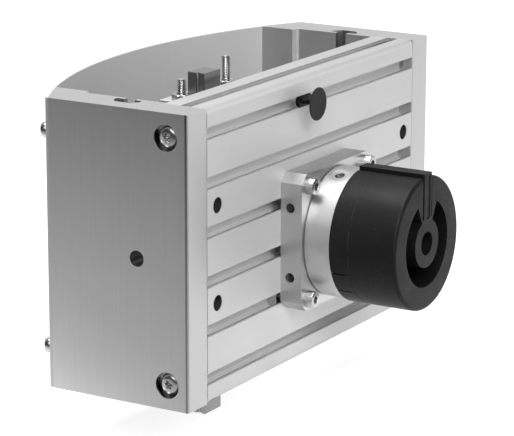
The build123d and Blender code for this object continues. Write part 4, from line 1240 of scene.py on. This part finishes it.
@dataclass
class StopStuds:
    """The two threaded studs of the vertical rail and their nuts; sizes in millimetres."""

    palette: Palette
    pitch: float = 1.0
    thread_deep: float = 0.45
    end_cut: float = 0.45
    ledge: float = 0.1
    core: float = 0.4
    nut_flats: float = 3.5
    nut_bore: float = 1.9
    nut_cut: float = 0.3
    nut_face: float = 0.97
    """Radius of the nut's turned faces, as a share of its flats."""
    nut_mouth: tuple[float, float] = (0.45, 0.35)
    """How far the bore's mouth is wider, and how deep it is."""

    def stud(self, radius: float, foot: float, top: float) -> list[Patch]:
        """A stud with plain chamfered ends and a thread between.

        Args:
            radius: Its radius.
            foot: Height of its lower end.
            top: Height of its upper end.

        Returns:
            The patches.
        """
        cut, ledge, core = self.end_cut, radius - self.ledge, radius - self.core
        low, high = foot + cut, top - cut
        ends = [[(0.0, foot), (radius - cut, foot), (ledge, low), (core, low)],
                [(core, high), (ledge, high), (radius - cut, top), (0.0, top)]]
        first, last = (turned(rows, columns=32) for rows in ends)
        return [first, threaded(radius, self.thread_deep, self.pitch, low, high), last]

    def nut(self, high: float) -> Patch:
        """A hexagon nut with its corners turned off above and below.

        Args:
            high: Its height.

        Returns:
            The nut, its seat at height 0.
        """
        flats, bore, cut, face = self.nut_flats, self.nut_bore, self.nut_cut, self.nut_flats * self.nut_face
        wider, deep = self.nut_mouth
        rows = [(bore, 0.0), (face, 0.0), (flats, cut), (flats, high - cut), (face, high),
                (bore + wider, high), (bore, high - deep), (bore, 0.0)]
        return turned(rows, Outline.HEX, (2, 3), columns=48)

    def build(self) -> None:
        """Makes the studs and the nuts."""
        steel, seats = self.palette.of("ground_steel"), NodeBox.of("stop_nuts")
        nuts = []
        for name in ("stop_stud_left", "stop_stud_right"):
            box = NodeBox.of(name)
            x, y = box.middle[:2]
            patches = [
                p.placed((x, y, 0.0), (0, 0, 1), (0, 1, 0)) for p in self.stud(box.size[0] / 2, box.low[2], box.high[2])
            ]
            make_piece(f"{name}_threaded", patches, steel, "z_slide", [name])
            nuts.append(self.nut(seats.size[2]).placed((x, y, seats.low[2]), (0, 0, 1), (0, 1, 0)))
        make_piece("stop_nuts_cut", nuts, steel, "z_slide", ["stop_nuts"])


@dataclass
class SlotPlug:
    """The black plug in the top slot: a round-ended key, a thin disc and the neck between them."""

    palette: Palette
    disc: float = 6.9
    disc_thick: float = 0.4
    key_left: float = 2.4
    key_right: float = 9.0
    key_half: float = 2.35
    key_proud: float = 0.3
    key_deep: float = 1.5
    back_break: float = 0.3
    front_break: float = 0.2
    taper: tuple[float, float, float] = (0.1, 3.0, 0.9)
    """Step forwards from the key's front, and how much shorter and narrower it is there."""
    neck: float = 1.2
    neck_back: tuple[float, float, float] = (0.5, 1.5, 1.0)
    """The neck's back end: its shift, its step forwards from the key's front, and its straight length."""
    neck_front: tuple[float, float] = (0.6, 1.0)
    neck_foot: float = 0.3
    """The neck's front end: its shift, and the steps back from the disc at which it starts and has spread."""
    back_cut: float = 0.5
    rim: float = 0.15
    hollow: tuple[tuple[float, float], ...] = ((0.05, 0.6), (0.08, 0.0))
    """Depth and share of the disc's radius in each row of its hollow front."""
    drop: float = 0.25
    columns: int = 96

    def keyed(self, rows: Sequence[tuple[float, float, float, float, float]]) -> Patch:
        """Round-ended outlines, one behind another.

        A point is (x + r cos a + l/2 sign(cos a), y, z + r sin a), where x and z are the row's
        middle, y its depth, r its radius and l its straight length.

        Args:
            rows: Middle along X, depth, middle along Z, straight length and radius of each row.

        Returns:
            The patch.
        """
        x, y, z, straight, radius = (column[:, None] for column in np.array(rows, float).T)
        turn = (np.arange(self.columns)[None, :] + 0.5) * 2.0 * math.pi / self.columns
        across = x + radius * np.cos(turn) + straight / 2 * np.sign(np.cos(turn))
        return Patch.lofted(np.stack((across, np.broadcast_to(y, across.shape), z + radius * np.sin(turn)), axis=-1))

    def build(self) -> None:
        """Makes the plug as one closed form, from the key's back to the disc's front."""
        box = NodeBox.of("slot_plug")
        half_high = float(box.size[2]) / 2
        x, z, front = float(box.low[0]) + half_high, float(box.middle[2]), float(box.low[1])
        key, proud = x + (self.key_right - self.key_left) / 2, -self.key_proud
        half, long, deep = self.key_half, self.key_left + self.key_right - 2 * self.key_half, self.key_deep
        side, low, r, thick = x + half_high - self.disc, z - self.drop, self.disc, self.disc_thick
        back, brow, rim, neck = self.back_break, self.front_break, self.rim, self.neck
        rows = [(key, y, z, long, radius) for y, radius in (
            (deep, 0.0), (deep, half - back), (deep - back, half), (proud + brow, half), (proud, half - brow),
        )]
        # The neck leans from the key's middle to the disc's.
        step, shorter, narrower = self.taper
        shift, ahead, straight = self.neck_back
        lean, behind = self.neck_front
        rows += [
            (key, proud - step, z, long - shorter, half - narrower), (key - shift, proud - ahead, z, straight, neck),
            (side + lean, front + thick + behind, low, 0.0, neck),
            (side, front + thick + self.neck_foot, low, 0.0, 2 * neck),
        ]
        # The disc has a broken rim and a front that is a little hollow.
        rows += [(side, front + y, low, 0.0, radius) for y, radius in (
            (thick + rim, r - self.back_cut), (thick, r), (rim, r), (0.0, r - rim),
            *((dip, r * share) for dip, share in self.hollow),
        )]
        make_piece("slot_plug_formed", [self.keyed(rows)], self.palette.of("pointer_plastic"), "frame",
                   ["slot_plug"])


@dataclass
class HubPointer:
    """The pointer in the hub's notch, with a sunk panel in its front; sizes in millimetres."""

    palette: Palette
    wide: float = 6.4
    shoulder: float = 1.6
    rise: float = 1.1
    border: float = 1.1
    slope: float = 0.15
    panel: float = 0.35
    broken: float = 0.2

    def outline(self, box: NodeBox) -> np.ndarray:
        """Corners of the pointer seen from the front, from its tip round.

        Args:
            box: The box of the node that it stands for.

        Returns:
            X and Z of each corner.
        """
        half, tip, top = self.wide / 2, float(box.low[2]), float(box.high[2]) + self.rise
        neck = tip + self.shoulder
        return np.array([(0.0, tip), (half, neck), (half, top), (-half, top), (-half, neck)])

    def row(self, corners: np.ndarray, inset: float, depth: float) -> np.ndarray:
        """The outline moved inwards by a distance, at a depth.

        A corner moves along the sum of the inward normals of its two sides, by the distance
        over one plus the cosine of the angle between them.

        Args:
            corners: X and Z of each corner.
            inset: The distance in millimetres.
            depth: Place along Y in millimetres.

        Returns:
            The points of the row.
        """
        side = np.roll(corners, -1, axis=0) - corners
        side /= np.linalg.norm(side, axis=1, keepdims=True)
        inward = np.stack((-side[:, 1], side[:, 0]), axis=1)
        before = np.roll(inward, 1, axis=0)
        share = inset / (1.0 + np.sum(inward * before, axis=1, keepdims=True))
        moved = corners + share * (inward + before)
        return np.stack((moved[:, 0], np.full(len(moved), depth), moved[:, 1]), axis=1)

    def build(self) -> None:
        """Makes the pointer as rows of its outline from back to front."""
        box = NodeBox.of("hub_pointer")
        corners = self.outline(box)
        back, front, b = float(box.high[1]), float(box.low[1]), self.broken
        rows = [self.row(corners, inset, depth) for inset, depth in (
            (b, back), (0.0, back - b), (0.0, front + b), (b, front), (self.border, front),
            (self.border + self.slope, front + self.panel),
        )]
        middle = corners.mean(axis=0)
        ends = [np.broadcast_to((middle[0], depth, middle[1]), rows[0].shape) for depth in (back, front + self.panel)]
        bar = Patch.lofted(np.stack([ends[0], *rows, ends[1]]))
        make_piece("hub_pointer_panelled", [bar], self.palette.of("pointer_plastic"), "rotor",
                   ["hub_pointer"])


@dataclass
class PortThreads:
    """Thread turns and a floor inside the air ports of the drive, in a darker aluminium that paints the shade there;
    sizes in millimetres.
    """

    palette: Palette
    radius: float = 2.09
    thread_deep: float = 0.22
    pitch: float = 0.8
    mouth: float = 0.3
    foot: float = 0.4
    floor_dip: float = 0.02

    def build(self, mounts: Sequence[dict]) -> None:
        """Makes the thread of each port that the record states.

        Args:
            mounts: The record's mounts.
        """
        ports = {m["name"]: m for m in mounts if "port" in m["name"]}
        for name, port in sorted(ports.items()):
            half = port["dims"]["length_mm"] / 2
            low, dip = self.foot - half, self.floor_dip
            turns = threaded(self.radius, self.thread_deep, self.pitch, low, half - self.mouth, inside=True)
            floor = turned([(self.radius, low + dip), (0.0, low - dip)], columns=32)
            place, axis = tuple(v / MM for v in port["pos_m"]), tuple(port["axis"])
            make_piece(f"{name}_thread", [turns.placed(place, axis), floor.placed(place, axis)],
                       self.palette.of("bore_aluminium"), "frame", closed=False)


# Studio


@dataclass
class Studio:
    """Floor, light and camera."""

    camera_place: Point = (-0.9211, -0.5228, 0.2690)
    azimuth: float = -59.09
    elevation: float = 14.37
    roll: float = 0.110
    focal_pixels: float = 2602.0
    image_wide: int = 514
    sensor: float = 36.0
    clip_start: float = 0.05
    floor_half: float = 6.0
    floor_gap: float = 0.0006
    floor_tint: tuple[float, float] = (0.05, 0.38)
    tint_ramp: tuple[float, float] = (-0.5589, -0.1089)
    """Places along the room's depth between which the floor's tint goes from first to last."""
    floor_glow: float = 0.82
    light_pool: tuple[float, float] = (-0.1239, -0.0489)
    """Places along the room's depth, from the origin, between which the floor's light comes up."""
    world_ramp: tuple[float, float] = (0.02, 0.6)
    world_light: tuple[float, float] = (0.08, 0.88)
    """Strength of the world at the room's dark end and at its white end."""

    LAMPS = (
        ("key", (-0.62, -0.84, 0.72), 0.8, 0.6, 11.0),
        ("fill", (-0.42, -0.98, 0.08), 0.8, 0.4, 1.8),
        ("side", (-0.84, -0.14, 0.68), 0.6, 0.6, 3.0),
        ("top", (-0.14, 0.16, 1.15), 0.7, 0.45, 17.0),
    )
    """Name, place, width, height and power of each soft box."""
    AIM = Vector((0.0, 0.02, 0.0))

    def build(self) -> None:
        """Makes everything round the object."""
        self.make_floor()
        self.make_world()
        self.make_lamps()
        self.make_camera()

    def white_end(self) -> Point:
        """The direction along the floor in which the room's white end lies."""
        a = math.radians(self.azimuth)
        return (-math.sin(a), math.cos(a), 0.0)

    def make_floor(self) -> None:
        """Pale floor that keeps the object's soft shadow, and that is darker at the room's dark end."""
        mesh = bpy.data.meshes.new("floor")
        r, low = self.floor_half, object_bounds()[0][2] - self.floor_gap
        mesh.from_pydata([(-r, -r, low), (r, -r, low), (r, r, low), (-r, r, low)], [], [(0, 1, 2, 3)])
        floor = bpy.data.objects.new("floor", mesh)
        bpy.context.scene.collection.objects.link(floor)
        floor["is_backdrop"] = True
        material = bpy.data.materials.new("pale_floor")
        material.use_nodes = True
        mesh.materials.append(material)
        tree = Graph(material.node_tree)
        depth = tree.vector("DOT_PRODUCT", tree.add("ShaderNodeTexCoord").outputs["Object"], self.white_end())
        pool = tree.ranged(depth, 0.0, self.floor_glow, *self.light_pool, interpolation_type="SMOOTHSTEP")
        tint = tree.ranged(depth, *self.floor_tint, *self.tint_ramp)
        paths = tree.add("ShaderNodeLightPath").outputs
        seen = paths["Is Camera Ray"]
        strength = tree.math("MAXIMUM", pool, tree.math("MULTIPLY", seen, self.floor_glow))
        colour = tree.math("MAXIMUM", tint, tree.math("MULTIPLY", seen, self.floor_tint[1]))
        diffuse = tree.add("ShaderNodeBsdfDiffuse", colour).outputs[0]
        glow = tree.add("ShaderNodeEmission", None, strength).outputs[0]
        glossy = tree.math("MAXIMUM", seen, paths["Is Glossy Ray"])
        clear = tree.math("MAXIMUM", glossy, paths["Is Transmission Ray"])
        both = tree.add("ShaderNodeAddShader", diffuse, glow).outputs[0]
        tree.add("ShaderNodeOutputMaterial", tree.add("ShaderNodeMixShader", clear, diffuse, both).outputs[0])

    def make_world(self) -> None:
        """Pale light all round that falls off towards the room's dark end, seen as white."""
        world = bpy.data.worlds.new("studio")
        bpy.context.scene.world = world
        world.use_nodes = True
        tree = Graph(world.node_tree)
        depth = tree.vector("DOT_PRODUCT", tree.add("ShaderNodeTexCoord").outputs["Generated"], self.white_end())
        fall = tree.ranged(depth, *self.world_light, *self.world_ramp)
        strength = tree.math("MAXIMUM", fall, tree.add("ShaderNodeLightPath").outputs["Is Camera Ray"])
        tree.add("ShaderNodeOutputWorld", tree.add("ShaderNodeBackground", shaded(1.0), strength).outputs[0])

    def make_lamps(self) -> None:
        """Soft boxes: one from the front left, one low at the front, one at the left and one overhead."""
        for name, place, wide, high, power in self.LAMPS:
            data = bpy.data.lights.new(name, "AREA")
            data.shape = "RECTANGLE"
            data.size = wide
            data.size_y = high
            data.energy = power
            lamp = bpy.data.objects.new(name, data)
            bpy.context.scene.collection.objects.link(lamp)
            lamp.location = place
            lamp.rotation_mode = "QUATERNION"
            lamp.rotation_quaternion = (self.AIM - Vector(place)).to_track_quat("-Z", "Y")

    def make_camera(self) -> None:
        """Camera at the photograph's angle, with its axis through the middle of the picture."""
        a, e, roll = (math.radians(v) for v in (self.azimuth, self.elevation, self.roll))
        ahead = Vector((-math.sin(a) * math.cos(e), math.cos(a) * math.cos(e), -math.sin(e)))
        right = ahead.cross(Vector((0.0, 0.0, 1.0))).normalized()
        up = right.cross(ahead)
        across = math.cos(roll) * right + math.sin(roll) * up
        above = -math.sin(roll) * right + math.cos(roll) * up
        data = bpy.data.cameras.new("camera")
        data.sensor_width = self.sensor
        data.lens = self.focal_pixels * self.sensor / self.image_wide
        data.clip_start = self.clip_start
        camera = bpy.data.objects.new("camera", data)
        bpy.context.scene.collection.objects.link(camera)
        turn = Matrix((across, above, -ahead)).transposed()
        camera.matrix_world = Matrix.Translation(self.camera_place) @ turn.to_4x4()
        bpy.context.scene.camera = camera


def corners() -> list[list[float]]:
    """The shown object's lowest and highest corner as plain lists."""
    return [[float(v) for v in corner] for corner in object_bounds()]


def main() -> None:
    """Builds the scene in order."""
    logging.basicConfig(level=logging.INFO, format="%(name)s %(message)s")
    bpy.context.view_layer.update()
    slots = {row["node"]: row["material_slot"] for row in frame["record"]["subparts"]}
    palette = Palette()
    NodeDresser(palette, EdgeWork()).dress(frame["nodes"], slots)
    Fasteners(palette).build()
    StopStuds(palette).build()
    SlotPlug(palette).build()
    HubPointer(palette).build()
    PortThreads(palette).build(frame["record"]["mounts"])
    Studio().build()
    bpy.context.scene.view_settings.view_transform = "Standard"
    bpy.context.view_layer.update()
    log.info("done")


if __name__ == "__main__":
    main()
